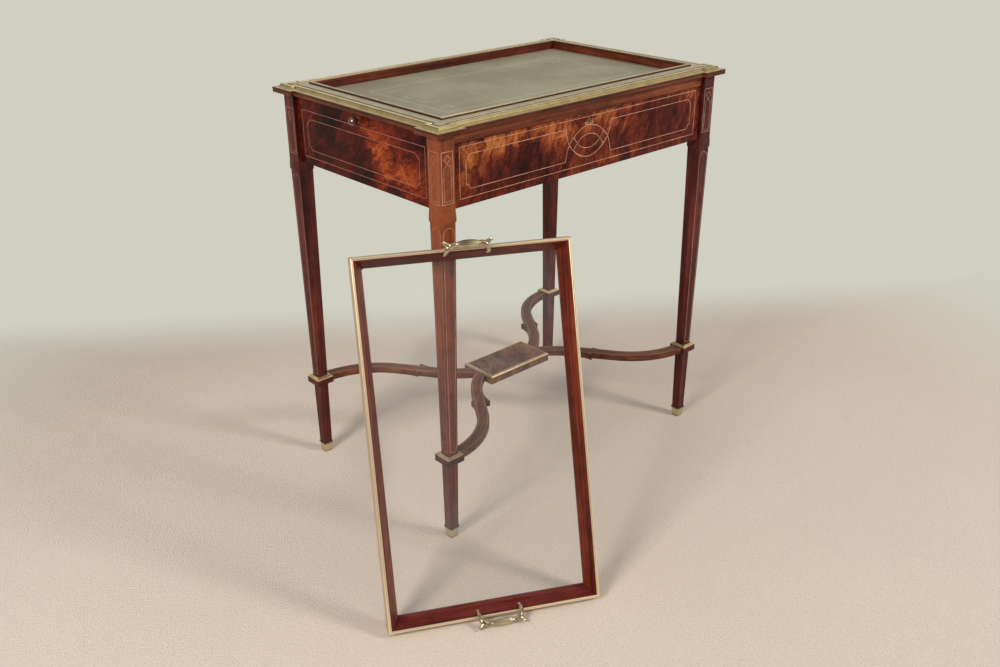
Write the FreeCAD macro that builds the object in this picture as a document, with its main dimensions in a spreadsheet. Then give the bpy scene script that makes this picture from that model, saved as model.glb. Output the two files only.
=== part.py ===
import FreeCAD, Part
import math
import operator
import os
import Sketcher
from FreeCAD import Placement, Rotation, Vector

# A dressing table: four square tapering legs on an S-curved stretcher, a
# frieze with one drawer and one pull-out slide, a rimmed top with a sunken
# well, and the loose glazed tray that leans against the front left leg.
# X runs along the long side, -Y is the drawer side, Z is up from the floor,
# and the origin is under the middle of the table.

doc = FreeCAD.newDocument("dressing_table")

# Sizes in millimetres, angles in degrees

SIZES = (
    ("table_height", 740.0),
    ("legs_span_long", 662.0),
    ("legs_span_deep", 423.0),
    ("leg_block", 29.1),
    ("moulding_height", 9.0),
    ("fillet_height", 5.4),
    ("frieze_height", 119.6),
    ("neck_height", 18.0),
    ("neck_step", 1.0),
    ("neck_half", 14.1),
    ("neck_band_half", 15.2),
    ("neck_swell", 0.45),
    ("foot_half", 8.4),
    ("tenon_half", 6.0),
    ("sabot_floor", 2.0),
    ("sabot_height", 22.0),
    ("sabot_foot_half", 7.2),
    ("sabot_waist_half", 8.9),
    ("sabot_flare", 2.4),
    ("sabot_lip", 1.2),
    ("sabot_lip_half", 10.2),
    ("collar_half", 18.0),
    ("collar_bottom", 157.0),
    ("collar_thick", 12.0),
    ("ring_edge", 0.8),
    ("ring_height", 4.0),
    ("ring_flat_half", 12.5),
    ("arm_width", 22.0),
    ("arm_lead", 6.0),
    ("arm_start_angle", 3.8),
    ("arm_bend_radius", 154.4),
    ("arm_slant_angle", 55.6),
    ("arm_return_radius", 192.0),
    ("arm_end_angle", 31.5),
    ("arm_end_offset", 9.0),
    ("arm_overrun", 30.0),
    ("outer_ear_share", 0.56),
    ("outer_ear_fade", 0.36),
    ("outer_ear_proud", 9.0),
    ("inner_ear_share", 0.62),
    ("inner_ear_fade", 0.25),
    ("inner_ear_proud", 4.5),
    ("ear_hollow", 1.6),
    ("plate_half_deep", 40.7),
    ("plate_drop", 2.0),
    ("plate_thick", 13.5),
    ("plate_rise", 3.5),
    ("plate_bead_rise", 4.1),
    ("plate_bead_width", 5.5),
    ("frieze_recess", 7.0),
    ("apron_thick", 16.0),
    ("front_rail_height", 19.1),
    ("rim_width", 37.5),
    ("band_thick", 1.5),
    ("band_groove", 0.9),
    ("fillet_overhang", 13.4),
    ("moulding_back", 1.0),
    ("moulding_inset", 6.0),
    ("lower_bead_overhang", 13.2),
    ("lower_bead_swell", 0.9),
    ("lower_bead_round", 1.0),
    ("lower_bead_height", 3.5),
    ("cove_foot", 12.2),
    ("cove_turn", 5.6),
    ("cove_head", 2.8),
    ("cove_height", 2.7),
    ("arris_bead", 3.2),
    ("arris_round", 0.9),
    ("arris_edge", 0.9),
    ("inner_bead_width", 5.5),
    ("inner_bead_rise", 4.0),
    ("inner_bead_crown", 2.8),
    ("inner_bead_swell", 0.8),
    ("well_panel_thick", 5.0),
    ("leather_thick", 0.8),
    ("drawer_front_thick", 18.0),
    ("drawer_gap", 0.7),
    ("drawer_top_gap", 0.8),
    ("drawer_side_thick", 10.0),
    ("drawer_side_lift", 10.0),
    ("drawer_back_space", 10.5),
    ("drawer_back_thick", 8.0),
    ("drawer_floor_lift", 3.0),
    ("drawer_floor_thick", 5.0),
    ("drawer_groove", 4.0),
    ("tail_length", 12.0),
    ("tail_flare", 2.0),
    ("tail_share", 0.5),
    ("runner_lift", 2.0),
    ("runner_width", 20.0),
    ("runner_guide_height", 24.2),
    ("sliding_gap", 0.2),
    ("guide_gap", 0.3),
    ("kicker_thick", 10.0),
    ("stop_width", 30.0),
    ("stop_height", 20.0),
    ("stop_lift", 24.0),
    ("stop_share", 0.74),
    ("slide_end_margin", 46.1),
    ("slide_front_drop", 5.1),
    ("slide_front_height", 17.9),
    ("slide_front_thick", 12.0),
    ("slide_headroom", 0.8),
    ("slide_thick", 17.0),
    ("bearer_thick", 7.6),
    ("bearer_lap", 12.3),
    ("bearer_width", 26.0),
    ("cross_rail_half", 10.0),
    ("knob_rose_radius", 5.5),
    ("knob_rose_thick", 1.5),
    ("knob_stem_radius", 2.3),
    ("knob_stem_length", 3.0),
    ("knob_ball_radius", 6.2),
    ("lock_half", 25.0),
    ("lock_height", 36.0),
    ("lock_drop", 4.7),
    ("lock_thick", 10.0),
    ("bolt_half", 8.0),
    ("bolt_thick", 4.0),
    ("bolt_length", 17.0),
    ("bolt_drop", 0.7),
    ("bolt_setback", 2.0),
    ("bolt_gap", 0.25),
    ("bolt_throw", 6.0),
    ("keyhole_drop", 12.0),
    ("keyhole_radius", 1.7),
    ("keyhole_slot_half", 0.8),
    ("keyhole_slot_length", 4.6),
    ("escutcheon_radius", 4.5),
    ("escutcheon_thick", 1.2),
    ("escutcheon_proud", 0.3),
    ("tray_clearance", 1.2),
    ("tray_thick", 30.0),
    ("tray_rail", 19.0),
    ("tray_lip", 5.5),
    ("tray_land", 1.5),
    ("tray_lip_rise", 1.5),
    ("tray_lip_crown", 1.0),
    ("tray_lip_swell", 0.35),
    ("tray_corner", 3.5),
    ("tray_corner_swell", 1.0),
    ("tray_rebate", 5.0),
    ("slip_thick", 3.0),
    ("glass_thick", 3.0),
    ("tray_sight_edge", 1.0),
    ("tray_heading", 27.77),
    ("tray_lean", 19.2),
    ("tray_touch_share", 0.4225),
    ("tray_gap", 0.3),
    ("handle_half", 34.0),
    ("handle_inset", 11.0),
    ("handle_overhang", 4.5),
    ("handle_rise", 13.5),
    ("handle_offset", 5.0),
    ("handle_clear", 3.0),
    ("handle_elbow", 3.6),
    ("handle_rod", 2.2),
    ("handle_rose", 5.0),
    ("handle_rose_run", 2.6),
    ("handle_rose_lift", 2.4),
    ("handle_leaf_long", 12.0),
    ("handle_leaf_wide", 5.0),
    ("handle_leaf_thick", 2.8),
    ("handle_tip_length", 7.2),
    ("handle_tip_turn", 54.0),
    ("handle_tip_rise", 15.0),
    ("handle_tip_radius", 2.4),
)

OPERATIONS = {
    "+": operator.add,
    "-": operator.sub,
    "*": operator.mul,
    "/": operator.truediv,
}


class Size:
    """A number together with the sheet formula that gives it."""

    def __init__(self, value, text):
        self.value = value
        self.text = text

    def __add__(self, other):
        return joined(self, "+", other)

    def __radd__(self, other):
        return joined(other, "+", self)

    def __sub__(self, other):
        return joined(self, "-", other)

    def __rsub__(self, other):
        return joined(other, "-", self)

    def __mul__(self, other):
        return joined(self, "*", other)

    def __rmul__(self, other):
        return joined(other, "*", self)

    def __truediv__(self, other):
        return joined(self, "/", other)

    def __neg__(self):
        return Size(-self.value, "(-%s)" % self.text)


def as_size(thing):
    """Return thing as a Size; a plain number stands for itself."""
    if isinstance(thing, Size):
        return thing
    return Size(float(thing), "(%r)" % float(thing))


def joined(first, sign, second):
    """Return the Size of two terms joined by a sign."""
    a = as_size(first)
    b = as_size(second)
    return Size(OPERATIONS[sign](a.value, b.value), "(%s %s %s)" % (a.text, sign, b.text))


def sine(angle):
    """Return the sine of an angle Size in degrees."""
    return Size(math.sin(math.radians(angle.value)), "sin(%s * 1deg)" % angle.text)


def cosine(angle):
    """Return the cosine of an angle Size in degrees."""
    return Size(math.cos(math.radians(angle.value)), "cos(%s * 1deg)" % angle.text)


def square(term):
    """Return a term times itself."""
    return term * term


class Named:
    """The sheet's values by name."""

    def __init__(self, rows):
        sheet = doc.addObject("Spreadsheet::Sheet", "sizes")
        for row, (name, value) in enumerate(rows, 1):
            sheet.set("A%d" % row, name)
            sheet.set("B%d" % row, str(value))
            sheet.setAlias("B%d" % row, name)
            setattr(self, name, Size(value, "sizes.%s" % name))
        sheet.Label = "sizes"


s = Named(SIZES)
doc.recompute()

PARTS = {}
PLANES = {
    "XY": ("z", Rotation(), Vector(0, 0, 1)),
    "XZ": ("y", Rotation(Vector(1, 0, 0), 90), Vector(0, 1, 0)),
    "YZ": ("x", Rotation(Vector(1, 1, 1), 120), Vector(1, 0, 0)),
}
CORNERS = (
    ("front_left", -1, -1),
    ("back_left", -1, 1),
    ("front_right", 1, -1),
    ("back_right", 1, 1),
)


def bind(thing, name, size):
    """Tie a property to the sheet formula of a Size."""
    thing.setExpression(name, as_size(size).text)


def made(kind, label):
    """Add an object under a label."""
    thing = doc.addObject(kind, label)
    thing.Label = label
    return thing


def box(label, low, high):
    """Return a block between two corners."""
    block = made("Part::Box", label)
    for name, axis, a, b in zip(("Length", "Width", "Height"), "xyz", low, high):
        bind(block, name, b - a)
        bind(block, ".Placement.Base." + axis, a)
    return block


def combined(kind, label, shapes):
    """Return one boolean of several shapes."""
    if kind == "Part::Cut":
        whole = made(kind, label)
        whole.Base = shapes[0]
        whole.Tool = shapes[1]
    else:
        whole = made(kind, label)
        whole.Shapes = shapes
    whole.Refine = True
    return whole


def fused(label, *shapes):
    """Return the union of the shapes."""
    return combined("Part::MultiFuse", label, list(shapes))


def shared(label, *shapes):
    """Return what the shapes have in common."""
    return combined("Part::MultiCommon", label, list(shapes))


def without(label, body, *tools):
    """Return the body less every tool."""
    tool = tools[0]
    if len(tools) > 1:
        tool = fused(label + "_tools", *tools)
    return combined("Part::Cut", label, (body, tool))


def grouped(label, *shapes):
    """Return the shapes side by side as one object."""
    group = made("Part::Compound", label)
    group.Links = list(shapes)
    return group


def part(thing, label=None):
    """Enter an object among the named parts."""
    if label:
        thing.Label = label
    PARTS[thing.Label] = thing
    return thing


def copy_at(label, thing, x, y, turn=0):
    """Enter a copy of a shape, turned upright by a whole angle and moved."""
    group = grouped(label, thing)
    group.Placement = Placement(Vector(), Rotation(Vector(0, 0, 1), turn))
    bind(group, ".Placement.Base.x", x)
    bind(group, ".Placement.Base.y", y)
    return part(group)


def bow_radius(p, q, bow):
    """Return the radius of the arc from p to q that rises by bow over its chord."""
    chord = square(q[0] - p[0]) + square(q[1] - p[1])
    return (chord / 4 + square(bow)) / (2 * bow)


def segment(p, q, bow):
    """Return the line or arc from p to q; a positive bow swells to the right."""
    a = Vector(p[0].value, p[1].value, 0)
    b = Vector(q[0].value, q[1].value, 0)
    if bow is None:
        return Part.LineSegment(a, b)
    along = (b - a).normalize()
    middle = (a + b) / 2 + Vector(along.y, -along.x, 0) * bow.value
    if bow.value < 0:
        a, b = b, a
    return Part.Arc(a, middle, b)


def outline(label, plane, points, bows, level):
    """Return a closed sketch through the points, in a plane at a level."""
    axis, turn, normal = PLANES[plane]
    sketch = made("Sketcher::SketchObject", label)
    sketch.Placement = Placement(Vector(), turn)
    bind(sketch, ".Placement.Base." + axis, level)
    points = [(as_size(x), as_size(y)) for x, y in points]
    count = len(points)
    forms = [segment(points[i], points[(i + 1) % count], bows[i]) for i in range(count)]
    sketch.addGeometry(forms, False)
    heads = []
    for i, form in enumerate(forms):
        start = Vector(points[i][0].value, points[i][1].value, 0)
        heads.append(1 if (form.StartPoint - start).Length < (form.EndPoint - start).Length else 2)
    for i in range(count):
        j = (i + 1) % count
        sketch.addConstraint(Sketcher.Constraint("Coincident", i, 3 - heads[i], j, heads[j]))
        for kind, size in zip(("DistanceX", "DistanceY"), points[i]):
            spot = sketch.addConstraint(Sketcher.Constraint(kind, i, heads[i], size.value))
            bind(sketch, "Constraints[%d]" % spot, size)
        if bows[i] is not None:
            bow = bows[i] if bows[i].value > 0 else -bows[i]
            radius = bow_radius(points[i], points[(i + 1) % count], bow)
            spot = sketch.addConstraint(Sketcher.Constraint("Radius", i, radius.value))
            bind(sketch, "Constraints[%d]" % spot, radius)
    return sketch, normal


def prism(label, plane, points, low, high, bows=None):
    """Return an outline carried from one level to another."""
    bows = bows or [None] * len(points)
    sketch, normal = outline(label + "_outline", plane, points, bows, low)
    solid = made("Part::Extrusion", label)
    solid.Base = sketch
    solid.DirMode = "Custom"
    solid.Dir = normal
    solid.Solid = True
    bind(solid, "LengthFwd", high - low)
    return solid


def profile(middle, half, steps):
    """Return the closed outline, both sides alike, of steps (growth, height, bow)."""
    rise = [(middle + half + step[0], step[1]) for step in steps]
    fall = [(middle - half - step[0], step[1]) for step in reversed(steps)]
    bows = [step[2] if len(step) > 2 else None for step in steps[1:]]
    return rise + fall, bows + [None] + bows[::-1] + [None]


def squared(label, x, y, half_x, half_y, steps):
    """Return a block of square plan whose four sides all follow the same steps."""
    reach = max((as_size(step[0]) for step in steps), key=lambda size: size.value)
    swell = max((step[2] for step in steps if len(step) > 2), key=lambda size: size.value, default=0)
    reach = reach + swell
    points, bows = profile(x, half_x, steps)
    along = prism(label + "_x", "XZ", points, y - half_y - reach, y + half_y + reach, bows)
    points, bows = profile(y, half_y, steps)
    across = prism(label + "_y", "YZ", points, x - half_x - reach, x + half_x + reach, bows)
    return shared(label, along, across)


def wedges(label, low, high, grow, bottom, top):
    """Return four mitred blocks that lie round a rectangle, grow wide."""
    inner = ((low[0], low[1]), (high[0], low[1]), (high[0], high[1]), (low[0], high[1]))
    outer = (
        (low[0] - grow, low[1] - grow),
        (high[0] + grow, low[1] - grow),
        (high[0] + grow, high[1] + grow),
        (low[0] - grow, high[1] + grow),
    )
    blocks = []
    for i, side in enumerate(("front", "right", "back", "left")):
        j = (i + 1) % 4
        corners = (inner[i], inner[j], outer[j], outer[i])
        blocks.append((side, prism("%s_%s_wedge" % (label, side), "XY", corners, bottom, top)))
    return blocks


def mitred(label, ring, blocks):
    """Return the four lengths of a ring, cut apart at its mitres."""
    return [(side, shared("%s_%s" % (label, side), ring, block)) for side, block in blocks]


# Shared heights, from the top down

fillet_top = s.table_height - s.moulding_height
frieze_top = fillet_top - s.fillet_height
frieze_bottom = frieze_top - s.frieze_height
neck_band = frieze_bottom - s.neck_height
neck_bottom = neck_band - s.neck_step
rim_wood_top = s.table_height - s.band_thick
front_rail_bottom = frieze_top - s.front_rail_height
front_top = front_rail_bottom - s.drawer_top_gap
panel_bottom = frieze_top - s.well_panel_thick
slide_front_top = frieze_top - s.slide_front_drop
slide_front_bottom = slide_front_top - s.slide_front_height
slide_top = panel_bottom - s.slide_headroom
slide_bottom = slide_top - s.slide_thick
bearer_top = slide_bottom - s.sliding_gap
bearer_bottom = bearer_top - s.bearer_thick
kicker_top = slide_front_bottom - s.guide_gap
kicker_bottom = kicker_top - s.kicker_thick
drawer_side_top = kicker_bottom - s.guide_gap
drawer_side_bottom = frieze_bottom + s.drawer_side_lift
drawer_floor_bottom = drawer_side_bottom + s.drawer_floor_lift
drawer_floor_top = drawer_floor_bottom + s.drawer_floor_thick
runner_top = drawer_side_bottom - s.sliding_gap
lock_top = front_top - s.lock_drop
bolt_top = front_top - s.bolt_drop
bolt_bottom = bolt_top - s.bolt_length
keyhole_height = front_top - s.keyhole_drop
collar_top = s.collar_bottom + s.collar_thick

# Shared places across and along

leg_half = s.leg_block / 2
leg_x = s.legs_span_long / 2 - leg_half
leg_y = s.legs_span_deep / 2 - leg_half
leg_in_x = leg_x - leg_half
leg_in_y = leg_y - leg_half
face_x = s.legs_span_long / 2 - s.frieze_recess
face_y = s.legs_span_deep / 2 - s.frieze_recess
inside_x = face_x - s.apron_thick
inside_y = face_y - s.apron_thick
well_x = s.legs_span_long / 2 - s.rim_width
well_y = s.legs_span_deep / 2 - s.rim_width
joint_face = -face_y + s.drawer_front_thick
drawer_back_face = inside_y - s.drawer_back_space
front_half = leg_in_x - s.drawer_gap
side_inner = front_half - s.drawer_side_thick
slide_half = leg_in_y - s.slide_end_margin
slot_half = slide_half + s.guide_gap
nothing = as_size(0)

# Legs, their brass shoes and the collars that tie them to the stretcher


def leg_half_at(height):
    """Return half the leg's thickness at a height on its taper."""
    return s.foot_half + (s.neck_half - s.foot_half) * height / neck_bottom


leg = squared("leg_form", nothing, nothing, nothing, nothing, (
    (s.tenon_half, s.sabot_floor),
    (s.tenon_half, s.sabot_height),
    (leg_half_at(s.sabot_height), s.sabot_height),
    (s.neck_half, neck_bottom),
    (s.neck_half, neck_band),
    (s.neck_band_half, neck_band),
    (leg_half, frieze_bottom, s.neck_swell),
    (leg_half, frieze_top),
))
shoe = squared("sabot_block", nothing, nothing, nothing, nothing, (
    (s.sabot_foot_half, nothing),
    (s.sabot_waist_half, s.sabot_height - s.sabot_lip - s.sabot_flare),
    (s.sabot_lip_half, s.sabot_height - s.sabot_lip),
    (s.sabot_lip_half, s.sabot_height),
))
socket = box(
    "sabot_socket",
    (-s.tenon_half, -s.tenon_half, s.sabot_floor),
    (s.tenon_half, s.tenon_half, s.sabot_height),
)
sabot = without("sabot_form", shoe, socket)
collar = without("collar_form", box(
    "collar_blank",
    (-s.collar_half, -s.collar_half, s.collar_bottom),
    (s.collar_half, s.collar_half, collar_top),
), leg)
ring_blank = squared("ring_blank", nothing, nothing, nothing, nothing, (
    (s.collar_half, collar_top),
    (s.collar_half, collar_top + s.ring_edge),
    (s.ring_flat_half, collar_top + s.ring_height),
))
ring = without("ring_form", ring_blank, leg)
for corner, side_x, side_y in CORNERS:
    for name, form in (("leg", leg), ("sabot", sabot), ("collar_block", collar), ("collar_ring", ring)):
        copy_at("%s_%s" % (name, corner), form, side_x * leg_x, side_y * leg_y)

# Stretcher: four S-curved arms with scrolled ears, and the plate between them


def step_along(spot, angle, distance):
    """Return the point reached from spot, going inwards at an angle."""
    return (spot[0] - cosine(angle) * distance, spot[1] - sine(angle) * distance)


def step_aside(spot, angle, distance):
    """Return the point beside spot, square to the angle."""
    return (spot[0] + sine(angle) * distance, spot[1] - cosine(angle) * distance)


slant_drop = s.arm_bend_radius * (cosine(s.arm_start_angle) - cosine(s.arm_slant_angle))
return_drop = s.arm_return_radius * (cosine(s.arm_end_angle) - cosine(s.arm_slant_angle))
arm_slant_length = (leg_y - slant_drop - return_drop - s.arm_end_offset) / sine(s.arm_slant_angle)
arm_start = (leg_x - s.collar_half, leg_y)
arm_bend = step_aside(arm_start, s.arm_start_angle, s.arm_bend_radius)
arm_first = step_aside(arm_bend, s.arm_slant_angle, -s.arm_bend_radius)
arm_second = step_along(arm_first, s.arm_slant_angle, arm_slant_length)
arm_turn = step_aside(arm_second, s.arm_slant_angle, -s.arm_return_radius)
arm_third = step_aside(arm_turn, s.arm_end_angle, s.arm_return_radius)
plate_half_long = arm_third[0]


def arm(label, mirror):
    """Return one arm from its collar to the plate, mirrored across the X axis or not."""
    start_angle = s.arm_start_angle
    slant = s.arm_slant_angle
    end_angle = s.arm_end_angle
    lead = step_along(arm_start, start_angle, -s.arm_lead)
    last = step_along(arm_third, end_angle, s.arm_overrun)
    half = s.arm_width / 2
    outer_at = arm_slant_length * s.outer_ear_share
    inner_at = arm_slant_length * s.inner_ear_share
    outer_ear = step_along(arm_first, slant, outer_at)
    outer_end = step_along(arm_first, slant, outer_at + arm_slant_length * s.outer_ear_fade)
    inner_ear = step_along(arm_first, slant, inner_at)
    inner_end = step_along(arm_first, slant, inner_at - arm_slant_length * s.inner_ear_fade)
    spots = (
        (lead, start_angle, -half),
        (arm_start, start_angle, -half),
        (arm_first, slant, -half),
        (outer_ear, slant, -half),
        (outer_ear, slant, -half - s.outer_ear_proud),
        (outer_end, slant, -half),
        (arm_second, slant, -half),
        (arm_third, end_angle, -half),
        (last, end_angle, -half),
        (last, end_angle, half),
        (arm_third, end_angle, half),
        (arm_second, slant, half),
        (inner_ear, slant, half),
        (inner_ear, slant, half + s.inner_ear_proud),
        (inner_end, slant, half),
        (arm_first, slant, half),
        (arm_start, start_angle, half),
        (lead, start_angle, half),
    )
    bows = [None] * len(spots)
    bend_half = (slant - start_angle) / 2
    return_half = (slant - end_angle) / 2
    bows[1] = (s.arm_bend_radius + half) * (1 - cosine(bend_half))
    bows[4] = -s.ear_hollow
    bows[6] = (s.arm_return_radius - half) * (cosine(return_half) - 1)
    bows[10] = (s.arm_return_radius + half) * (1 - cosine(return_half))
    bows[13] = -s.ear_hollow / 2
    bows[15] = (s.arm_bend_radius - half) * (cosine(bend_half) - 1)
    points = [step_aside(*spot) for spot in spots]
    if mirror:
        points = [(x, -y) for x, y in points]
        bows = [bow if bow is None else -bow for bow in bows]
    blank = prism(label + "_blank", "XY", points, s.collar_bottom, collar_top, bows)
    low = (plate_half_long, nothing)
    high = (leg_x - s.collar_half, s.legs_span_deep / 2)
    if mirror:
        low, high = (low[0], -high[1]), (high[0], nothing)
    limit = box(label + "_limit", (low[0], low[1], s.collar_bottom), (high[0], high[1], collar_top))
    return shared(label, blank, limit)


arms = {1: arm("arm_form", False), -1: arm("arm_form_mirrored", True)}
for corner, side_x, side_y in CORNERS:
    turn = 0 if side_x > 0 else 180
    copy_at("stretcher_arm_" + corner, arms[side_x * side_y], nothing, nothing, turn)

plate_bottom = s.collar_bottom - s.plate_drop
plate_ledge = plate_bottom + s.plate_thick
plate_field = plate_ledge + s.plate_rise
plate_bead_top = plate_ledge + s.plate_bead_rise
field_x = plate_half_long - s.plate_bead_width
field_y = s.plate_half_deep - s.plate_bead_width
plate_base = box(
    "plate_base",
    (-plate_half_long, -s.plate_half_deep, plate_bottom),
    (plate_half_long, s.plate_half_deep, plate_ledge),
)
plate_raised = box(
    "plate_raised",
    (-field_x, -field_y, plate_ledge),
    (field_x, field_y, plate_field),
)
part(fused("stretcher_plate", plate_base, plate_raised))
plate_edge = squared("plate_edge", nothing, nothing, field_x, field_y, (
    (s.plate_bead_width, plate_ledge),
    (nothing, plate_bead_top),
))
plate_hole = box(
    "plate_hole",
    (-field_x, -field_y, plate_ledge),
    (field_x, field_y, plate_bead_top),
)
plate_ring = without("plate_ring", plate_edge, plate_hole)
plate_cuts = wedges(
    "plate",
    (-field_x, -field_y),
    (field_x, field_y),
    s.plate_bead_width,
    plate_ledge,
    plate_bead_top,
)
plate_lengths = mitred("plate_moulding", plate_ring, plate_cuts)
part(grouped("plate_moulding", *(length for side, length in plate_lengths)))

# Frieze: aprons between the legs, the left one slotted for the slide

left_blank = box(
    "left_blank",
    (-face_x, -leg_in_y, frieze_bottom),
    (-inside_x, leg_in_y, frieze_top),
)
slot = box(
    "slide_slot",
    (-face_x, -slot_half, kicker_top),
    (-inside_x, slot_half, slide_front_top + s.guide_gap),
)
part(without("apron_left", left_blank, slot))
part(box(
    "apron_right",
    (inside_x, -leg_in_y, frieze_bottom),
    (face_x, leg_in_y, frieze_top),
))
part(box(
    "apron_back",
    (-leg_in_x, inside_y, frieze_bottom),
    (leg_in_x, face_y, frieze_top),
))

# Lock: its place in the drawer front, the bolt's hole in the rail above

bolt_back = joint_face - s.bolt_setback
bolt_front = bolt_back - s.bolt_thick
rail_blank = box(
    "front_rail_blank",
    (-leg_in_x, -face_y, front_rail_bottom),
    (leg_in_x, joint_face, frieze_top),
)
bolt_hole = box(
    "bolt_hole",
    (-s.bolt_half - s.bolt_gap, bolt_front - s.bolt_gap, front_rail_bottom),
    (s.bolt_half + s.bolt_gap, bolt_back + s.bolt_gap, bolt_top + s.bolt_throw + s.drawer_top_gap),
)
part(without("front_top_rail", rail_blank, bolt_hole))
part(box(
    "lock_bolt",
    (-s.bolt_half, bolt_front, bolt_bottom),
    (s.bolt_half, bolt_back, bolt_top),
))
bolt_way = box(
    "bolt_way",
    (-s.bolt_half - s.bolt_gap, bolt_front - s.bolt_gap, bolt_bottom - s.bolt_gap),
    (s.bolt_half + s.bolt_gap, bolt_back + s.bolt_gap, front_top),
)


def rod(label, radius, length, spot, axis, angle):
    """Return a round rod from a spot, its own axis turned from upright."""
    solid = made("Part::Cylinder", label)
    solid.Placement = Placement(Vector(), Rotation(axis, angle))
    bind(solid, "Radius", radius)
    bind(solid, "Height", length)
    for letter, size in zip("xyz", spot):
        bind(solid, ".Placement.Base." + letter, size)
    return solid


AHEAD = (Vector(1, 0, 0), -90)
LEFTWARD = (Vector(0, 1, 0), -90)
key_start = -face_y - s.escutcheon_proud
key_length = bolt_front - s.bolt_gap - key_start
keyhole = fused(
    "keyhole",
    rod("keyhole_bow", s.keyhole_radius, key_length, (nothing, key_start, keyhole_height), *AHEAD),
    box(
        "keyhole_slot",
        (-s.keyhole_slot_half, key_start, keyhole_height - s.keyhole_slot_length),
        (s.keyhole_slot_half, key_start + key_length, keyhole_height),
    ),
)
shield_blank = rod(
    "escutcheon_blank",
    s.escutcheon_radius,
    s.escutcheon_thick,
    (nothing, key_start, keyhole_height - s.keyhole_radius),
    *AHEAD
)
part(without("escutcheon", shield_blank, keyhole))
lock_block = box(
    "lock_block",
    (-s.lock_half, joint_face - s.lock_thick, lock_top - s.lock_height),
    (s.lock_half, joint_face, lock_top),
)
part(without("lock_case", lock_block, bolt_way, keyhole))

# Drawer

drawer_floor = part(box(
    "drawer_bottom",
    (-side_inner - s.drawer_groove, joint_face - s.drawer_groove, drawer_floor_bottom),
    (side_inner + s.drawer_groove, drawer_back_face, drawer_floor_top),
))
TAILS = 3


def side_outline():
    """Return the drawer side seen from the end, with dovetails at its front."""
    points = [
        (joint_face, drawer_side_bottom),
        (drawer_back_face, drawer_side_bottom),
        (drawer_back_face, drawer_side_top),
        (joint_face, drawer_side_top),
    ]
    pitch = (drawer_side_top - drawer_side_bottom) / TAILS
    narrow = pitch * s.tail_share / 2
    for tail in range(TAILS):
        middle = drawer_side_top - pitch * (tail + 0.5)
        points.append((joint_face, middle + narrow))
        points.append((joint_face - s.tail_length, middle + narrow + s.tail_flare))
        points.append((joint_face - s.tail_length, middle - narrow - s.tail_flare))
        points.append((joint_face, middle - narrow))
    return points


sides = []
for name, low, high in (("left", -front_half, -side_inner), ("right", side_inner, front_half)):
    blank = prism("drawer_side_%s_blank" % name, "YZ", side_outline(), low, high)
    sides.append(blank)
    part(without("drawer_side_" + name, blank, drawer_floor))
part(box(
    "drawer_back",
    (-side_inner, drawer_back_face - s.drawer_back_thick, drawer_floor_top),
    (side_inner, drawer_back_face, drawer_side_top),
))
front_blank = box(
    "drawer_front_blank",
    (-front_half, -face_y, frieze_bottom),
    (front_half, joint_face, front_top),
)
part(without(
    "drawer_front",
    front_blank,
    lock_block,
    bolt_way,
    keyhole,
    shield_blank,
    drawer_floor,
    *sides
))

# Inside the frieze: what carries the drawer and the slide

runner_in = inside_x - s.runner_width
runners = []
kickers = []
stops = []
for name, side in (("left", -1), ("right", 1)):
    near = runner_in if side > 0 else -inside_x
    far = inside_x if side > 0 else -runner_in
    guide_near = front_half + s.guide_gap if side > 0 else -inside_x
    guide_far = inside_x if side > 0 else -front_half - s.guide_gap
    ledge = box(
        "runner_ledge_" + name,
        (near, -leg_in_y, frieze_bottom + s.runner_lift),
        (far, leg_in_y, runner_top),
    )
    guide = box(
        "runner_guide_" + name,
        (guide_near, -leg_in_y, runner_top),
        (guide_far, leg_in_y, runner_top + s.runner_guide_height),
    )
    runners.append(fused("runner_" + name, ledge, guide))
    kickers.append(box(
        "kicker_" + name,
        (near, -leg_in_y, kicker_bottom),
        (far, leg_in_y, kicker_top),
    ))
    middle = side * side_inner * s.stop_share
    stop_bottom = drawer_side_bottom + s.stop_lift
    stops.append(box(
        "stop_" + name,
        (middle - s.stop_width / 2, drawer_back_face + s.sliding_gap, stop_bottom),
        (middle + s.stop_width / 2, inside_y, stop_bottom + s.stop_height),
    ))
part(grouped("drawer_runners", *runners))
part(grouped("drawer_kickers", *kickers))
part(grouped("drawer_stops", *stops))
bearer_inner = slide_half - s.bearer_lap
bearer_outer = bearer_inner + s.bearer_width
bearers = []
for name, side in (("front", -1), ("back", 1)):
    near = bearer_inner if side > 0 else -bearer_outer
    far = bearer_outer if side > 0 else -bearer_inner
    guide_near = slot_half if side > 0 else -bearer_outer
    guide_far = bearer_outer if side > 0 else -slot_half
    ledge = box(
        "bearer_ledge_" + name,
        (-runner_in, near, bearer_bottom),
        (-s.cross_rail_half, far, bearer_top),
    )
    guide = box(
        "bearer_guide_" + name,
        (-runner_in, guide_near, bearer_top),
        (-s.cross_rail_half, guide_far, panel_bottom),
    )
    bearers.append(fused("bearer_" + name, ledge, guide))
part(grouped("slide_bearers", *bearers))
part(box(
    "cross_rail",
    (-s.cross_rail_half, joint_face, bearer_bottom),
    (s.cross_rail_half, inside_y, panel_bottom),
))

# Slide in the left end, with its ball knob

slide_shoulder = -face_x + s.slide_front_thick
part(box(
    "slide_front",
    (-face_x, -slide_half, slide_front_bottom),
    (slide_shoulder, slide_half, slide_front_top),
))
part(box(
    "slide_board",
    (slide_shoulder, -slide_half, slide_bottom),
    (-s.cross_rail_half - s.guide_gap, slide_half, slide_top),
))


BALL_FACETS = 10


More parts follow.
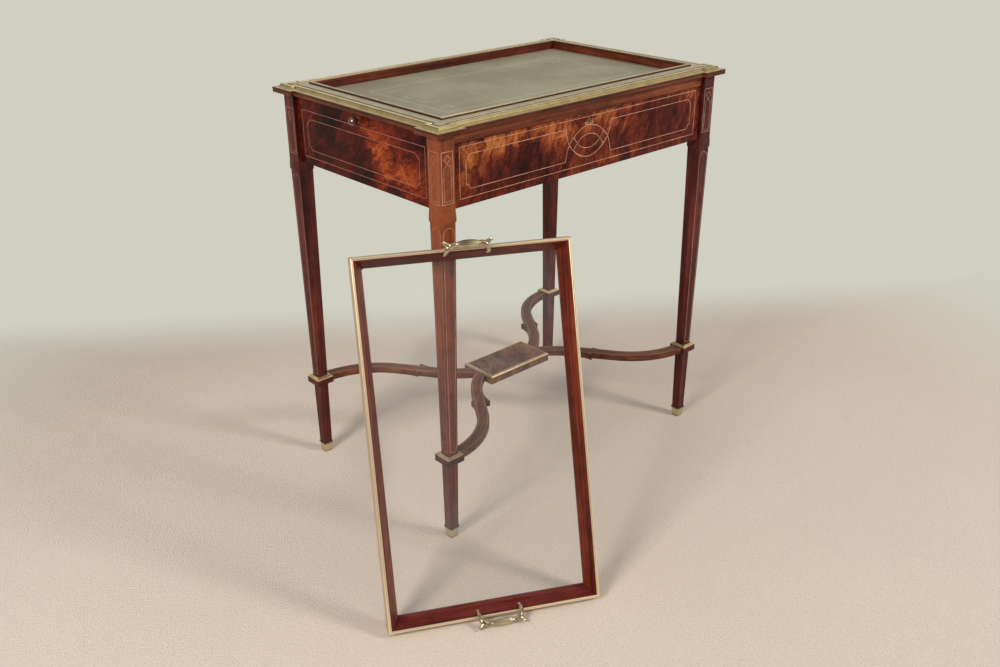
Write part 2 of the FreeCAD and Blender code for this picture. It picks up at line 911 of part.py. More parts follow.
def knob_outline():
    """Return half the knob's section, from the frieze out: rose, stem and facetted ball."""
    rose = -face_x - s.knob_rose_thick
    stem = rose - s.knob_stem_length
    ball = s.knob_ball_radius
    points = [
        (-face_x, nothing),
        (-face_x, s.knob_rose_radius),
        (rose, s.knob_rose_radius),
        (rose, s.knob_stem_radius),
        (stem, s.knob_stem_radius),
    ]
    angles = [as_size(180 * facet / BALL_FACETS) for facet in range(2, BALL_FACETS)]
    for angle in angles:
        points.append((stem - ball * (cosine(angles[0]) - cosine(angle)), ball * sine(angle)))
    points.append((stem - ball * (cosine(angles[0]) + 1), nothing))
    return points


points = knob_outline()
knob_section, knob_normal = outline("knob_section", "XY", points, [None] * len(points), nothing)
knob_turned = made("Part::Revolution", "knob_turned")
knob_turned.Source = knob_section
knob_turned.Axis = Vector(1, 0, 0)
knob_turned.Solid = True
knob = grouped("slide_knob", knob_turned)
bind(knob, ".Placement.Base.z", (slide_front_bottom + slide_front_top) / 2)
part(knob)

# Top: panel and leather in the well, mitred rails, three brass mouldings


def stepped(label, grow, bottom, top):
    """Return the plan of the frieze and its four leg blocks, grown all round."""
    blocks = [box(
        label + "_middle",
        (-face_x - grow, -face_y - grow, bottom),
        (face_x + grow, face_y + grow, top),
    )]
    reach = leg_half + grow
    for corner, side_x, side_y in CORNERS:
        blocks.append(box(
            "%s_%s" % (label, corner),
            (side_x * leg_x - reach, side_y * leg_y - reach, bottom),
            (side_x * leg_x + reach, side_y * leg_y + reach, top),
        ))
    return fused(label, *blocks)


corner_blocks = [
    box(
        "panel_notch_" + corner,
        (side_x * leg_x - leg_half, side_y * leg_y - leg_half, panel_bottom),
        (side_x * leg_x + leg_half, side_y * leg_y + leg_half, frieze_top),
    )
    for corner, side_x, side_y in CORNERS
]
panel_blank = box(
    "panel_blank",
    (-inside_x, joint_face, panel_bottom),
    (inside_x, inside_y, frieze_top),
)
part(without("well_panel", panel_blank, *corner_blocks))
part(box(
    "leather_lining",
    (-well_x, -well_y, frieze_top),
    (well_x, well_y, frieze_top + s.leather_thick),
))
inner_bead_top = s.table_height + s.inner_bead_rise
inner_bead_side = inner_bead_top - s.inner_bead_crown
top_cuts = wedges(
    "top",
    (-well_x, -well_y),
    (well_x, well_y),
    s.rim_width + s.fillet_overhang + s.lower_bead_swell,
    frieze_top,
    inner_bead_top,
)
well_hole = box("well_hole", (-well_x, -well_y, frieze_top), (well_x, well_y, rim_wood_top))
rim_wood = without(
    "rim_wood",
    fused(
        "rim_solid",
        stepped("rim_fillet", s.fillet_overhang, frieze_top, fillet_top),
        stepped("rim_core", s.moulding_back, fillet_top, rim_wood_top),
    ),
    well_hole,
)
for side, length in mitred("top_rail", rim_wood, top_cuts):
    part(length)
lower_bead_top = fillet_top + s.lower_bead_height
cove_top = lower_bead_top + s.cove_height
edge_steps = (
    (s.lower_bead_overhang, fillet_top),
    (s.lower_bead_overhang + s.lower_bead_swell, fillet_top + s.lower_bead_round),
    (s.lower_bead_overhang + s.lower_bead_swell, lower_bead_top - s.lower_bead_round),
    (s.cove_foot, lower_bead_top),
    (s.cove_turn, lower_bead_top + s.cove_height / 3),
    (s.cove_head, cove_top),
    (s.arris_bead, cove_top),
    (s.arris_bead, s.table_height - s.arris_edge),
    (s.arris_bead - s.arris_round, s.table_height),
)
edge_blocks = [squared("edge_middle", nothing, nothing, face_x, face_y, edge_steps)]
for corner, side_x, side_y in CORNERS:
    spot = (side_x * leg_x, side_y * leg_y)
    edge_blocks.append(squared("edge_" + corner, *spot, leg_half, leg_half, edge_steps))
edge_ring = without(
    "edge_ring",
    fused("edge_solid", *edge_blocks),
    stepped("edge_core", s.moulding_back, fillet_top, rim_wood_top),
    stepped("edge_inside", -s.moulding_inset, rim_wood_top, s.table_height),
)
edge_lengths = mitred("edge_moulding", edge_ring, top_cuts)
part(grouped("edge_moulding", *(length for side, length in edge_lengths)))
band_in = s.inner_bead_width + s.band_groove
band_hole = box(
    "band_hole",
    (-well_x - band_in, -well_y - band_in, rim_wood_top),
    (well_x + band_in, well_y + band_in, s.table_height),
)
band_ring = without(
    "band_ring",
    stepped("band_solid", -s.moulding_inset - s.band_groove, rim_wood_top, s.table_height),
    band_hole,
)
band_lengths = mitred("flat_band", band_ring, top_cuts)
part(grouped("flat_band", *(length for side, length in band_lengths)))
bead_half = s.inner_bead_width / 2
bead_outside = squared("bead_outside", nothing, nothing, well_x, well_y, (
    (s.inner_bead_width, rim_wood_top),
    (s.inner_bead_width, inner_bead_side),
    (bead_half, inner_bead_top, s.inner_bead_swell),
))
bead_inside = squared("bead_inside", nothing, nothing, well_x, well_y, (
    (nothing, rim_wood_top),
    (nothing, inner_bead_side),
    (bead_half, inner_bead_top, -s.inner_bead_swell),
))
bead_ring = without("bead_ring", bead_outside, bead_inside)
bead_lengths = mitred("inner_bead", bead_ring, top_cuts)
part(grouped("inner_bead", *(length for side, length in bead_lengths)))

# Tray, built flat with its corner at the origin, then leant on the leg

tray_face = s.tray_thick - s.tray_lip_rise
tray_lip_side = s.tray_thick - s.tray_lip_crown
glass_front = s.slip_thick + s.glass_thick
slope_foot = glass_front + s.tray_sight_edge
slope_head = s.tray_lip + s.tray_land
tray_x = 2 * (well_y - s.tray_clearance)
tray_y = 2 * (well_x - s.tray_clearance)
touch_height = tray_y * cosine(s.tray_lean)
touch_half = leg_half_at(touch_height)
touch_x = leg_x + touch_half
touch_y = leg_y + touch_half
ahead = sine(s.tray_heading)
aside = cosine(s.tray_heading)
along_edge = touch_y * ahead - touch_x * aside - tray_x * s.tray_touch_share
behind = -touch_x * ahead - touch_y * aside - tray_y * sine(s.tray_lean) - s.tray_gap
tray_at = (along_edge * aside + behind * ahead, behind * aside - along_edge * ahead)
TRAY_PLACE = (
    "placement(vector(%s; %s; 0); rotation(vector(0; 0; 1); -sizes.tray_heading)"
    " * rotation(vector(1; 0; 0); 90 - sizes.tray_lean))"
) % (tray_at[0].text, tray_at[1].text)
END_FOR_END = "placement(vector(%s; %s; 0); rotation(vector(0; 0; 1); 180))" % (
    (tray_x + 2 * s.handle_offset).text,
    tray_y.text
)


def leant(label, *shapes, turned=False):
    """Enter a tray part, built flat from the shapes, at its leaning place."""
    group = grouped(label, *shapes)
    group.setExpression("Placement", TRAY_PLACE + (" * " + END_FOR_END if turned else ""))
    return part(group)


def rounded(label, inset, bottom, top):
    """Return the tray's opening, its corners rounded by small arcs."""
    low = (inset, inset)
    high = (tray_x - inset, tray_y - inset)
    r = s.tray_corner
    points = (
        (low[0] + r, low[1]),
        (high[0] - r, low[1]),
        (high[0], low[1] + r),
        (high[0], high[1] - r),
        (high[0] - r, high[1]),
        (low[0] + r, high[1]),
        (low[0], high[1] - r),
        (low[0], low[1] + r),
    )
    return prism(label, "XY", points, bottom, top, [None, s.tray_corner_swell] * 4)


rebate = s.tray_rail - s.tray_rebate
frame_blank = box(
    "tray_blank",
    (s.tray_lip, s.tray_lip, nothing),
    (tray_x - s.tray_lip, tray_y - s.tray_lip, tray_face),
)
frame_ring = without(
    "tray_frame",
    frame_blank,
    rounded("tray_opening", s.tray_rail, nothing, tray_face),
    box(
        "tray_rebate_hole",
        (rebate, rebate, nothing),
        (tray_x - rebate, tray_y - rebate, glass_front),
    ),
    squared("tray_slope", tray_x / 2, tray_y / 2, tray_x / 2, tray_y / 2, (
        (-s.tray_rail, slope_foot),
        (-slope_head, tray_face),
    )),
)
tray_reach = s.tray_rail + s.tray_corner
tray_cuts = wedges(
    "tray",
    (tray_reach, tray_reach),
    (tray_x - tray_reach, tray_y - tray_reach),
    tray_reach,
    nothing,
    s.tray_thick,
)
TRAY_SIDES = {"front": "bottom", "right": "right", "back": "top", "left": "left"}
for side, length in mitred("tray_rail_form", frame_ring, tray_cuts):
    leant("tray_rail_" + TRAY_SIDES[side], length)
lip_half = s.tray_lip / 2
lip_outside = squared("lip_outside", tray_x / 2, tray_y / 2, tray_x / 2, tray_y / 2, (
    (nothing, nothing),
    (nothing, tray_lip_side),
    (-lip_half, s.tray_thick, s.tray_lip_swell),
))
lip_inside = squared("lip_inside", tray_x / 2, tray_y / 2, tray_x / 2, tray_y / 2, (
    (-s.tray_lip, nothing),
    (-s.tray_lip, tray_lip_side),
    (-lip_half, s.tray_thick, -s.tray_lip_swell),
))
lip_ring = without("lip_ring", lip_outside, lip_inside)
lip_lengths = mitred("tray_lip", lip_ring, tray_cuts)
leant("tray_edging", *(length for side, length in lip_lengths))
glass = box(
    "tray_pane",
    (rebate, rebate, s.slip_thick),
    (tray_x - rebate, tray_y - rebate, glass_front),
)
leant("tray_glass", glass)
slip_ring = without(
    "slip_ring",
    box(
        "slip_blank",
        (rebate, rebate, nothing),
        (tray_x - rebate, tray_y - rebate, s.slip_thick),
    ),
    box(
        "slip_hole",
        (s.tray_rail, s.tray_rail, nothing),
        (tray_x - s.tray_rail, tray_y - s.tray_rail, s.slip_thick),
    ),
)
slip_lengths = mitred("slip", slip_ring, tray_cuts)
leant("glazing_slips", *(length for side, length in slip_lengths))

# Handles: a bar on two bent arms, a leaf in the middle and raised tips

bar_height = tray_face + s.handle_rise
bar_out = -s.handle_overhang
pieces = []


def slope_at(inset):
    """Return the height of the rails' sloping face at a distance from the tray's edge."""
    return slope_foot + (s.tray_rail - inset) * (tray_face - slope_foot) / (s.tray_rail - slope_head)


def rose_outline():
    """Return the plate under a handle's arm from the side: a slip lying on the slope."""
    low, high = s.handle_inset + s.handle_rose_run, s.handle_inset - s.handle_rose_run
    return (
        (low, slope_at(low)),
        (high, slope_at(high)),
        (high, slope_at(high) + s.handle_rose_lift),
        (low, slope_at(low) + s.handle_rose_lift),
    )


def arm_outline():
    """Return a handle's arm from the side: a stem on the slope that bends over the edging."""
    half = s.handle_rod
    elbow = s.tray_thick + s.handle_clear
    return (
        (s.handle_inset + half, slope_at(s.handle_inset + half)),
        (s.handle_inset + half, elbow + s.handle_elbow),
        (bar_out, bar_height + half),
        (bar_out, bar_height - half),
        (s.handle_inset - half, elbow),
        (s.handle_inset - half, slope_at(s.handle_inset - half)),
    )


def bar(label, radius, length, spot, turn):
    """Return an eight-sided bar from a spot, turned from upright by a sheet formula."""
    solid = made("Part::Prism", label)
    solid.Polygon = 8
    bind(solid, "Circumradius", radius)
    bind(solid, "Height", length)
    solid.setExpression("Placement", "placement(vector(%s; %s; %s); %s)" % (
        spot[0].text,
        spot[1].text,
        spot[2].text,
        turn
    ))
    return solid


def leaf_outline(middle, level, swell):
    """Return a leaf's plan or side: six-cornered, pointed at both ends."""
    half = s.handle_leaf_long
    return (
        (middle - half, level),
        (middle - half / 2, level - swell),
        (middle + half / 2, level - swell),
        (middle + half, level),
        (middle + half / 2, level + swell),
        (middle - half / 2, level + swell),
    )


middle = tray_x / 2 + s.handle_offset
for name, side in (("left", -1), ("right", 1)):
    at = middle + side * s.handle_half
    plate = (at - s.handle_rose, at + s.handle_rose)
    pieces.append(prism("handle_rose_" + name, "YZ", rose_outline(), *plate))
    stem = (at - s.handle_rod, at + s.handle_rod)
    pieces.append(prism("handle_arm_" + name, "YZ", arm_outline(), *stem))
    heading = "-sizes.handle_tip_turn" if side > 0 else "180 + sizes.handle_tip_turn"
    pieces.append(bar(
        "handle_tip_" + name,
        s.handle_tip_radius,
        s.handle_tip_length,
        (at, bar_out, bar_height),
        "rotation(vector(0; 0; 1); %s) * rotation(vector(0; 1; 0); 90 - sizes.handle_tip_rise)" % heading
    ))
pieces.append(bar(
    "handle_bar",
    s.handle_rod,
    2 * (s.handle_half + s.handle_rod),
    (middle - s.handle_half - s.handle_rod, bar_out, bar_height),
    "rotation(vector(0; 1; 0); 90)"
))
pieces.append(shared(
    "handle_leaf",
    prism(
        "handle_leaf_plan",
        "XY",
        leaf_outline(middle, bar_out, s.handle_leaf_wide),
        bar_height - s.handle_leaf_thick,
        bar_height + s.handle_leaf_thick
    ),
    prism(
        "handle_leaf_side",
        "XZ",
        leaf_outline(middle, bar_height, s.handle_leaf_thick),
        bar_out - s.handle_leaf_wide,
        bar_out + s.handle_leaf_wide
    ),
))
handle = fused("handle_form", *pieces)
leant("tray_handle_bottom", handle)
leant("tray_handle_top", handle, turned=True)

doc.recompute()

for thing in doc.Objects:
    for state in ("Invalid", "Error"):
        if state in thing.State:
            raise RuntimeError("%s is %s" % (thing.Label, thing.State))
for label, thing in PARTS.items():
    if thing.Shape.isNull() or not thing.Shape.isValid() or not thing.Shape.Solids:
        raise RuntimeError("%s has no sound shape" % label)

os.makedirs("parts", exist_ok=True)
for label, thing in PARTS.items():
    thing.Shape.exportStep("parts/%s.step" % label)
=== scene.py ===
import math

import bmesh
import bpy
import numpy as np
from mathutils import Matrix, Vector


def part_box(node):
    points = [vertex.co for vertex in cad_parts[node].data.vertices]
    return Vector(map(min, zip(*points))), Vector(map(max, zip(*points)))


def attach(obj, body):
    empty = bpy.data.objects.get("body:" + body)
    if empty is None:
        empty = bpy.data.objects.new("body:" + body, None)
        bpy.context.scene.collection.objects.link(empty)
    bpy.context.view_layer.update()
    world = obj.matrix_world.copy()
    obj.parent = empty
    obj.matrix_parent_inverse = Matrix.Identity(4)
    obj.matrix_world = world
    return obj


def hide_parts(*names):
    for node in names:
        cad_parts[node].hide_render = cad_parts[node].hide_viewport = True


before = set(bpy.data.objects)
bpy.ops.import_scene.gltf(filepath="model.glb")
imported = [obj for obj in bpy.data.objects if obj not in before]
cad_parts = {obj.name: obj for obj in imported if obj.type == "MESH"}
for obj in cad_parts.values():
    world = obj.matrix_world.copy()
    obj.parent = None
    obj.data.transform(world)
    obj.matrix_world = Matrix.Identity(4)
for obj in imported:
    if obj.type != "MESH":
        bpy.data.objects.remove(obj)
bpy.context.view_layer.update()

# A mahogany dressing table with brass mouldings and light stringing, in its own
# frame: X along the drawer, -Y out of the drawer side, Z up from the floor.
# Shapes are measured in millimetres. Finishes, floor and lights are in metres.

MM = 0.001
LEGS_LONG = 331.0
LEGS_DEEP = 211.5
LEG_BLOCK = 29.1
FACE_X = 324.0
FACE_Y = 204.5
WELL_X = 293.5
WELL_Y = 174.0
LEG_X = LEGS_LONG - LEG_BLOCK / 2
LEG_Y = LEGS_DEEP - LEG_BLOCK / 2
LEG_IN_X = LEGS_LONG - LEG_BLOCK
LEG_IN_Y = LEGS_DEEP - LEG_BLOCK
FILLET_TOP = 731.0
RIM_WOOD_TOP = 738.5
TABLE_TOP = 740.0
BEAD_TOP = 743.8
NECK_BOTTOM = 587.0
FOOT_HALF = 8.4
NECK_HALF = 14.1
COLLAR_TOP = 169.0
LEATHER_TOP = 726.4
PLATE_EDGE_WIDE = 5.5
LIP_WIDE = 5.5
LIP_HIGH = 29.0
CORNERS = (
    ("front_left", -1, -1),
    ("back_left", -1, 1),
    ("front_right", 1, -1),
    ("back_right", 1, 1),
)
ALONG = (1.0, 0.0, 0.0)
ACROSS = (0.0, 1.0, 0.0)
UPWARD = (0.0, 0.0, 1.0)

# Camera, floor and light


def photo_camera():
    """Place the camera where the photograph was taken, from the solved heading, tilt and lens."""
    heading, tilt, roll = (math.radians(angle) for angle in (42.424, 25.412, -0.286))
    level = np.array([math.sin(heading), math.cos(heading), 0.0])
    ahead = level * math.cos(tilt) - np.array([0.0, 0.0, math.sin(tilt)])
    right = np.array([math.cos(heading), -math.sin(heading), 0.0])
    up = np.cross(right, ahead)
    turned_right = math.cos(roll) * right + math.sin(roll) * up
    turned_up = math.cos(roll) * up - math.sin(roll) * right
    matrix = Matrix.Identity(4)
    for column, axis in enumerate((turned_right, turned_up, -ahead)):
        for row in range(3):
            matrix[row][column] = axis[row]
    matrix.translation = Vector((-1.27327, -1.37322, 1.11639))
    camera = bpy.data.objects.new("camera", bpy.data.cameras.new("camera"))
    sensor_wide, photo_wide, focal_length = 36.0, 1000.0, 1036.6
    camera.data.sensor_width = sensor_wide
    camera.data.lens = focal_length * sensor_wide / photo_wide
    camera.data.clip_end = 60.0
    camera.matrix_world = matrix
    bpy.context.scene.collection.objects.link(camera)
    bpy.context.scene.camera = camera


def soft_light(name, place, aim, width, power, tint):
    """Hang a square soft light at a place, turned towards a point."""
    lamp = bpy.data.lights.new(name, "AREA")
    lamp.size = width
    lamp.energy = power
    lamp.color = tint
    holder = bpy.data.objects.new(name, lamp)
    turn = (Vector(aim) - Vector(place)).to_track_quat("-Z", "Y")
    holder.matrix_world = Matrix.Translation(place) @ turn.to_matrix().to_4x4()
    bpy.context.scene.collection.objects.link(holder)


class Wire:
    """One output of a node. Sums and products of wires and numbers add Math nodes."""

    def __init__(self, finish, socket):
        self.finish = finish
        self.socket = socket

    def __add__(self, other):
        return self.finish.maths("ADD", self, other)

    def __sub__(self, other):
        return self.finish.maths("SUBTRACT", self, other)

    def __rsub__(self, other):
        return self.finish.maths("SUBTRACT", other, self)

    def __mul__(self, other):
        return self.finish.maths("MULTIPLY", self, other)

    __radd__ = __add__
    __rmul__ = __mul__


class Finish:
    """A material put together node by node."""

    def __init__(self, name, owner=None):
        if owner is None:
            owner = bpy.data.materials.new(name)
            owner.use_nodes = True
        self.owner = owner
        self.tree = owner.node_tree
        self.tree.nodes.clear()

    def node(self, kind, inputs=None, output=0, stops=None, **settings):
        """Add a node: its settings first, then the values or links of its sockets."""
        made = self.tree.nodes.new("ShaderNode" + kind)
        for name, value in settings.items():
            setattr(made, name, value)
        for spot, (place, colour) in enumerate(stops or ()):
            ramp = made.color_ramp.elements
            stop = ramp[spot] if spot < 2 else ramp.new(place)
            stop.position = place
            stop.color = (*colour, 1.0)
        for name, value in (inputs or {}).items():
            if isinstance(value, Wire):
                self.tree.links.new(value.socket, made.inputs[name])
            else:
                made.inputs[name].default_value = value
        return Wire(self, made.outputs[output]) if made.outputs else None

    def maths(self, operation, *terms):
        """Add a Math node for wires and numbers."""
        return self.node("Math", dict(enumerate(terms)), operation=operation)

    def reach(self, vector, axis):
        """Return how far a vector reaches along an axis."""
        return self.node("VectorMath", {0: vector, 1: axis}, output=1, operation="DOT_PRODUCT")

    def length(self, vector):
        """Return a vector's length."""
        return self.node("VectorMath", {0: vector}, output=1, operation="LENGTH")

    def object_place(self):
        """Return the place on the object, in metres in the table's frame."""
        return self.node("TexCoord", output="Object")

    def turned(self, vector, turn, stretch, centre=(0.0, 0.0, 0.0)):
        """Turn the coordinates back by an Euler angle about a centre and divide them by lengths."""
        values = {"Vector": vector, "Location": centre, "Rotation": turn, "Scale": stretch}
        return self.node("Mapping", values, vector_type="TEXTURE")

    def noise(self, vector, scale=1.0, detail=3.0, roughness=0.5, distortion=0.0, output=0):
        """Return cloudy noise from 0 to 1, or its colour where output is 1."""
        values = {"Vector": vector, "Scale": scale, "Detail": detail, "Roughness": roughness}
        values["Distortion"] = distortion
        return self.node("TexNoise", values, output=output)

    def step(self, value, low, high):
        """Return 0 below low, 1 above high and an even curve between."""
        values = {"Value": value, "From Min": low, "From Max": high}
        return self.node("MapRange", values, interpolation_type="SMOOTHSTEP")

    def ramp(self, value, *stops):
        """Colour a value by stops of (place, colour); the two outermost come first."""
        return self.node("ValToRGB", {0: value}, stops=stops)

    def mix(self, first, second, share):
        """Mix two colours: the first where the share is 0, the second where it is 1."""
        first, second = (
            (*tone, 1.0) if isinstance(tone, tuple) else tone for tone in (first, second)
        )
        return self.node("Mix", {0: share, 6: first, 7: second}, output=2, data_type="RGBA")

    def bump(self, height, strength, depth):
        """Return normals from a height field whose full rise is depth in metres."""
        return self.node("Bump", {"Height": height, "Strength": strength, "Distance": depth})

    def finish(self, **sockets):
        """Close the material with one Principled shader."""
        named = {name.replace("_", " "): value for name, value in sockets.items()}
        shader = self.node("BsdfPrincipled", named)
        self.node("OutputMaterial", {"Surface": shader})
        return self.owner


def studio():
    """Set the floor, the sky and two soft lights, one each side of the camera."""
    half = 9.0
    mesh = bpy.data.meshes.new("floor")
    corners = [(-half, -half, 0.0), (half, -half, 0.0), (half, half, 0.0), (-half, half, 0.0)]
    mesh.from_pydata(corners, [], [(0, 1, 2, 3)])
    floor = bpy.data.objects.new("floor", mesh)
    bpy.context.scene.collection.objects.link(floor)
    pale = Finish("pale_floor")
    place = pale.object_place()
    cloud = pale.noise(place, scale=2.5, detail=3.0)
    nap = pale.noise(place, scale=300.0, detail=4.0, roughness=0.7)
    colour = pale.mix((0.64, 0.55, 0.465), (0.70, 0.61, 0.52), cloud)
    colour = pale.mix(colour, (0.44, 0.375, 0.31), pale.step(nap, 0.48, 0.74) * 0.75)
    normal = pale.bump(nap, 0.6, 0.004)
    away = pale.length(place)
    behind = pale.reach(place, (0.583, 0.812, 0.0))
    faded = pale.maths("MAXIMUM", pale.step(away, 0.85, 1.7), pale.step(behind, 0.40, 0.72))
    pile = pale.node("BsdfPrincipled", {"Base Color": colour, "Roughness": 0.95, "Normal": normal})
    nothing = pale.node("BsdfTransparent")
    fading = pale.node("MixShader", {0: faded, 1: pile, 2: nothing})
    pale.node("OutputMaterial", {"Surface": fading})
    mesh.materials.append(pale.owner)

    world = bpy.data.worlds.new("studio")
    world.use_nodes = True
    sky = Finish("studio", world)
    seen = 0.0
    for ray in ("Is Camera Ray", "Is Glossy Ray", "Is Transmission Ray"):
        seen = sky.maths("MAXIMUM", seen, sky.node("LightPath", output=ray))
    light = sky.node("Background", {"Color": (0.96, 0.96, 1.0, 1.0), "Strength": 0.43})
    facing = sky.reach(sky.node("TexCoord"), (-0.88, -0.46, 0.1))
    glossy = sky.node("LightPath", output="Is Glossy Ray")
    wall = (0.63, 0.625, 0.54)
    room = sky.mix(wall, (0.13, 0.115, 0.10), sky.step(facing, -0.1, 0.7) * glossy)
    plain = sky.node("Background", {"Color": room, "Strength": 1.0})
    mixed = sky.node("MixShader", {0: seen, 1: light, 2: plain})
    sky.node("OutputWorld", {"Surface": mixed})
    bpy.context.scene.world = world

    table_middle = (0.0, 0.0, 0.4)
    warm = (1.0, 0.95, 0.87)
    soft_light("left_light", (-3.5, -1.0, 2.3), table_middle, 1.1, 119.0, warm)
    soft_light("right_light", (1.4, -3.6, 2.7), table_middle, 0.9, 104.0, warm)
    bpy.context.scene.view_settings.view_transform = "Standard"


photo_camera()
studio()

# Finishes


def heading_of(grain):
    """Return the Euler angles that turn the X axis to the grain."""
    return tuple(Vector(grain).to_track_quat("X", "Z").to_euler())


def mahogany(name, grain, tones, lifts=()):
    """Return plain mahogany: long streaks, ribbon light and short dark pores along the grain.

    Each lift is (from height, to height, amount) and lightens the wood above it.
    """
    wood = Finish(name)
    place = wood.object_place()
    turn = heading_of(grain)
    ribbon = wood.noise(wood.turned(place, turn, (0.30, 0.016, 0.016)), detail=3.0, distortion=0.7)
    streak = wood.noise(
        wood.turned(place, turn, (0.16, 0.0042, 0.0042)), detail=5.0, roughness=0.65, distortion=0.3
    )
    fine = wood.noise(wood.turned(place, turn, (0.04, 0.0008, 0.0008)), detail=3.0)
    pore = wood.noise(wood.turned(place, turn, (0.009, 0.00036, 0.00036)), detail=1.0)
    mottle = wood.noise(place, scale=34.0, detail=4.0, roughness=0.6)
    pores = wood.step(pore, 0.58, 0.68)
    tone = ribbon * 0.7 + streak * 0.6 + fine * 0.2 + mottle * 0.35 - 0.43
    for low, high, amount in lifts:
        tone = tone + wood.step(wood.reach(place, UPWARD), low, high) * amount
    colour = wood.ramp(tone, (0.28, tones[0]), (0.72, tones[2]), (0.48, tones[1]))
    colour = wood.mix(colour, (0.016, 0.003, 0.001), pores * 0.6)
    smear = wood.noise(place, scale=26.0, detail=3.0)
    normal = wood.bump(fine * 0.35 + streak * 0.3 - pores * 0.5, 0.2, 0.0003)
    return wood.finish(
        Base_Color=colour,
        Roughness=0.27 + smear * 0.16 + pores * 0.1,
        Normal=normal,
        Specular_IOR_Level=0.10,
        Coat_Weight=0.12,
        Coat_Roughness=0.1,
    )


def flame_mahogany(name, turn, lean, glow, tones):
    """Return crotch veneer: feathered, mottled figure along a lean, with glowing patches.

    Turn brings the face's long side to X. Each patch is (centre, half lengths, angle, strength)
    along the face and up it, and a strength below 0 makes it dark.
    """
    wood = Finish(name)
    place = wood.turned(wood.object_place(), turn, (1.0, 1.0, 1.0))
    bent = place
    for scale, push in ((10.0, 0.05), (46.0, 0.02)):
        swirl = wood.noise(place, scale=scale, detail=3.0, output=1)
        drift = wood.node("VectorMath", {0: swirl, 1: (0.5, 0.5, 0.5)}, operation="SUBTRACT")
        drift = wood.node("VectorMath", {0: drift, "Scale": push}, operation="SCALE")
        bent = wood.node("VectorMath", {0: bent, 1: drift}, operation="ADD")
    leaned = (0.0, lean, 0.0)
    plume = wood.noise(
        wood.turned(bent, leaned, (0.013, 0.05, 0.036)), detail=8.0, roughness=0.72, distortion=1.3
    )
    broad = wood.noise(wood.turned(bent, leaned, (0.040, 0.2, 0.085)), detail=3.0, roughness=0.55)
    curl = wood.noise(bent, scale=70.0, detail=8.0, roughness=0.68, distortion=1.5)
    fine = wood.noise(wood.turned(bent, leaned, (0.0011, 0.02, 0.012)), detail=3.0)
    tone = broad * 1.1 + plume * 1.2 + curl * 0.42 + fine * 0.32 - 1.175
    feather = plume * 1.8 + fine * 1.6 - 0.7
    for centre, halves, angle, strength in glow:
        local = wood.turned(
            bent, (0.0, angle, 0.0), (halves[0], 10.0, halves[1]), (centre[0], 0.0, centre[1])
        )
        patch = 1.0 - wood.step(wood.length(local), 0.0, 1.8)
        tone = tone + patch * feather * strength
    stops = zip((0.05, 0.98, 0.28, 0.50, 0.74), (tones[0], tones[4], *tones[1:4]))
    colour = wood.ramp(tone, *stops)
    ridge = 1.0 - wood.step(wood.maths("ABSOLUTE", plume - 0.5), 0.0, 0.045)
    colour = wood.mix(colour, tones[4], ridge * wood.step(tone, 0.42, 0.78) * 0.45)
    smear = wood.noise(place, scale=22.0, detail=3.0)
    normal = wood.bump(fine * 0.5 + plume * 0.4, 0.14, 0.0003)
    return wood.finish(
        Base_Color=colour,
        Roughness=0.22 + smear * 0.16,
        Normal=normal,
        Specular_IOR_Level=0.05,
        Coat_Weight=0.08,
        Coat_Roughness=0.08,
    )


def plain_oak(name, grain):
    """Return unpolished oak: straw brown with open dark pores."""
    wood = Finish(name)
    place = wood.object_place()
    turn = heading_of(grain)
    rings = wood.noise(wood.turned(place, turn, (0.4, 0.012, 0.012)), detail=4.0, distortion=0.8)
    pore = wood.noise(wood.turned(place, turn, (0.016, 0.0006, 0.0006)), detail=2.0)
    pores = wood.step(pore, 0.56, 0.68)
    colour = wood.ramp(rings, (0.35, (0.20, 0.115, 0.055)), (0.65, (0.38, 0.25, 0.135)))
    colour = wood.mix(colour, (0.085, 0.045, 0.022), pores * 0.7)
    normal = wood.bump(rings * 0.4 - pores, 0.4, 0.0004)
    return wood.finish(Base_Color=colour, Roughness=0.62 + pores * 0.2, Normal=normal)


def brass(name, bright, dull, roughness, grime_and_shade=0.6):
    """Return aged brass: cloudy patina, fine scratches, and hollows darkened by ambient occlusion,
    partly dirt and partly painted shade.
    """
    metal = Finish(name)
    place = metal.object_place()
    cloud = metal.noise(place, scale=38.0, detail=5.0, roughness=0.6)
    spots = metal.noise(place, scale=420.0, detail=3.0)
    scratch = metal.noise(metal.turned(place, (0.4, 0.3, 0.8), (0.02, 0.0006, 0.0006)), detail=2.0)
    open_air = metal.node(
        "AmbientOcclusion", {"Distance": 0.006}, output="AO", samples=8, only_local=False
    )
    patina = metal.step(cloud, 0.36, 0.66) * 0.75 + metal.step(spots, 0.52, 0.70) * 0.35
    colour = metal.mix(bright, dull, metal.maths("MINIMUM", patina, 1.0))
    # Painted shade: ambient occlusion darkens corners, hollows and the places between parts,
    # standing partly for dirt and partly for shade.
    dark = (1.0 - metal.step(open_air, 0.25, 0.85)) * grime_and_shade
    colour = metal.mix(colour, (0.035, 0.025, 0.012), dark)
    return metal.finish(
        Base_Color=colour,
        Metallic=0.92,
        Roughness=roughness + cloud * 0.16 + spots * 0.06,
        Normal=metal.bump(scratch * 0.5 + spots * 0.5, 0.12, 0.0002),
    )


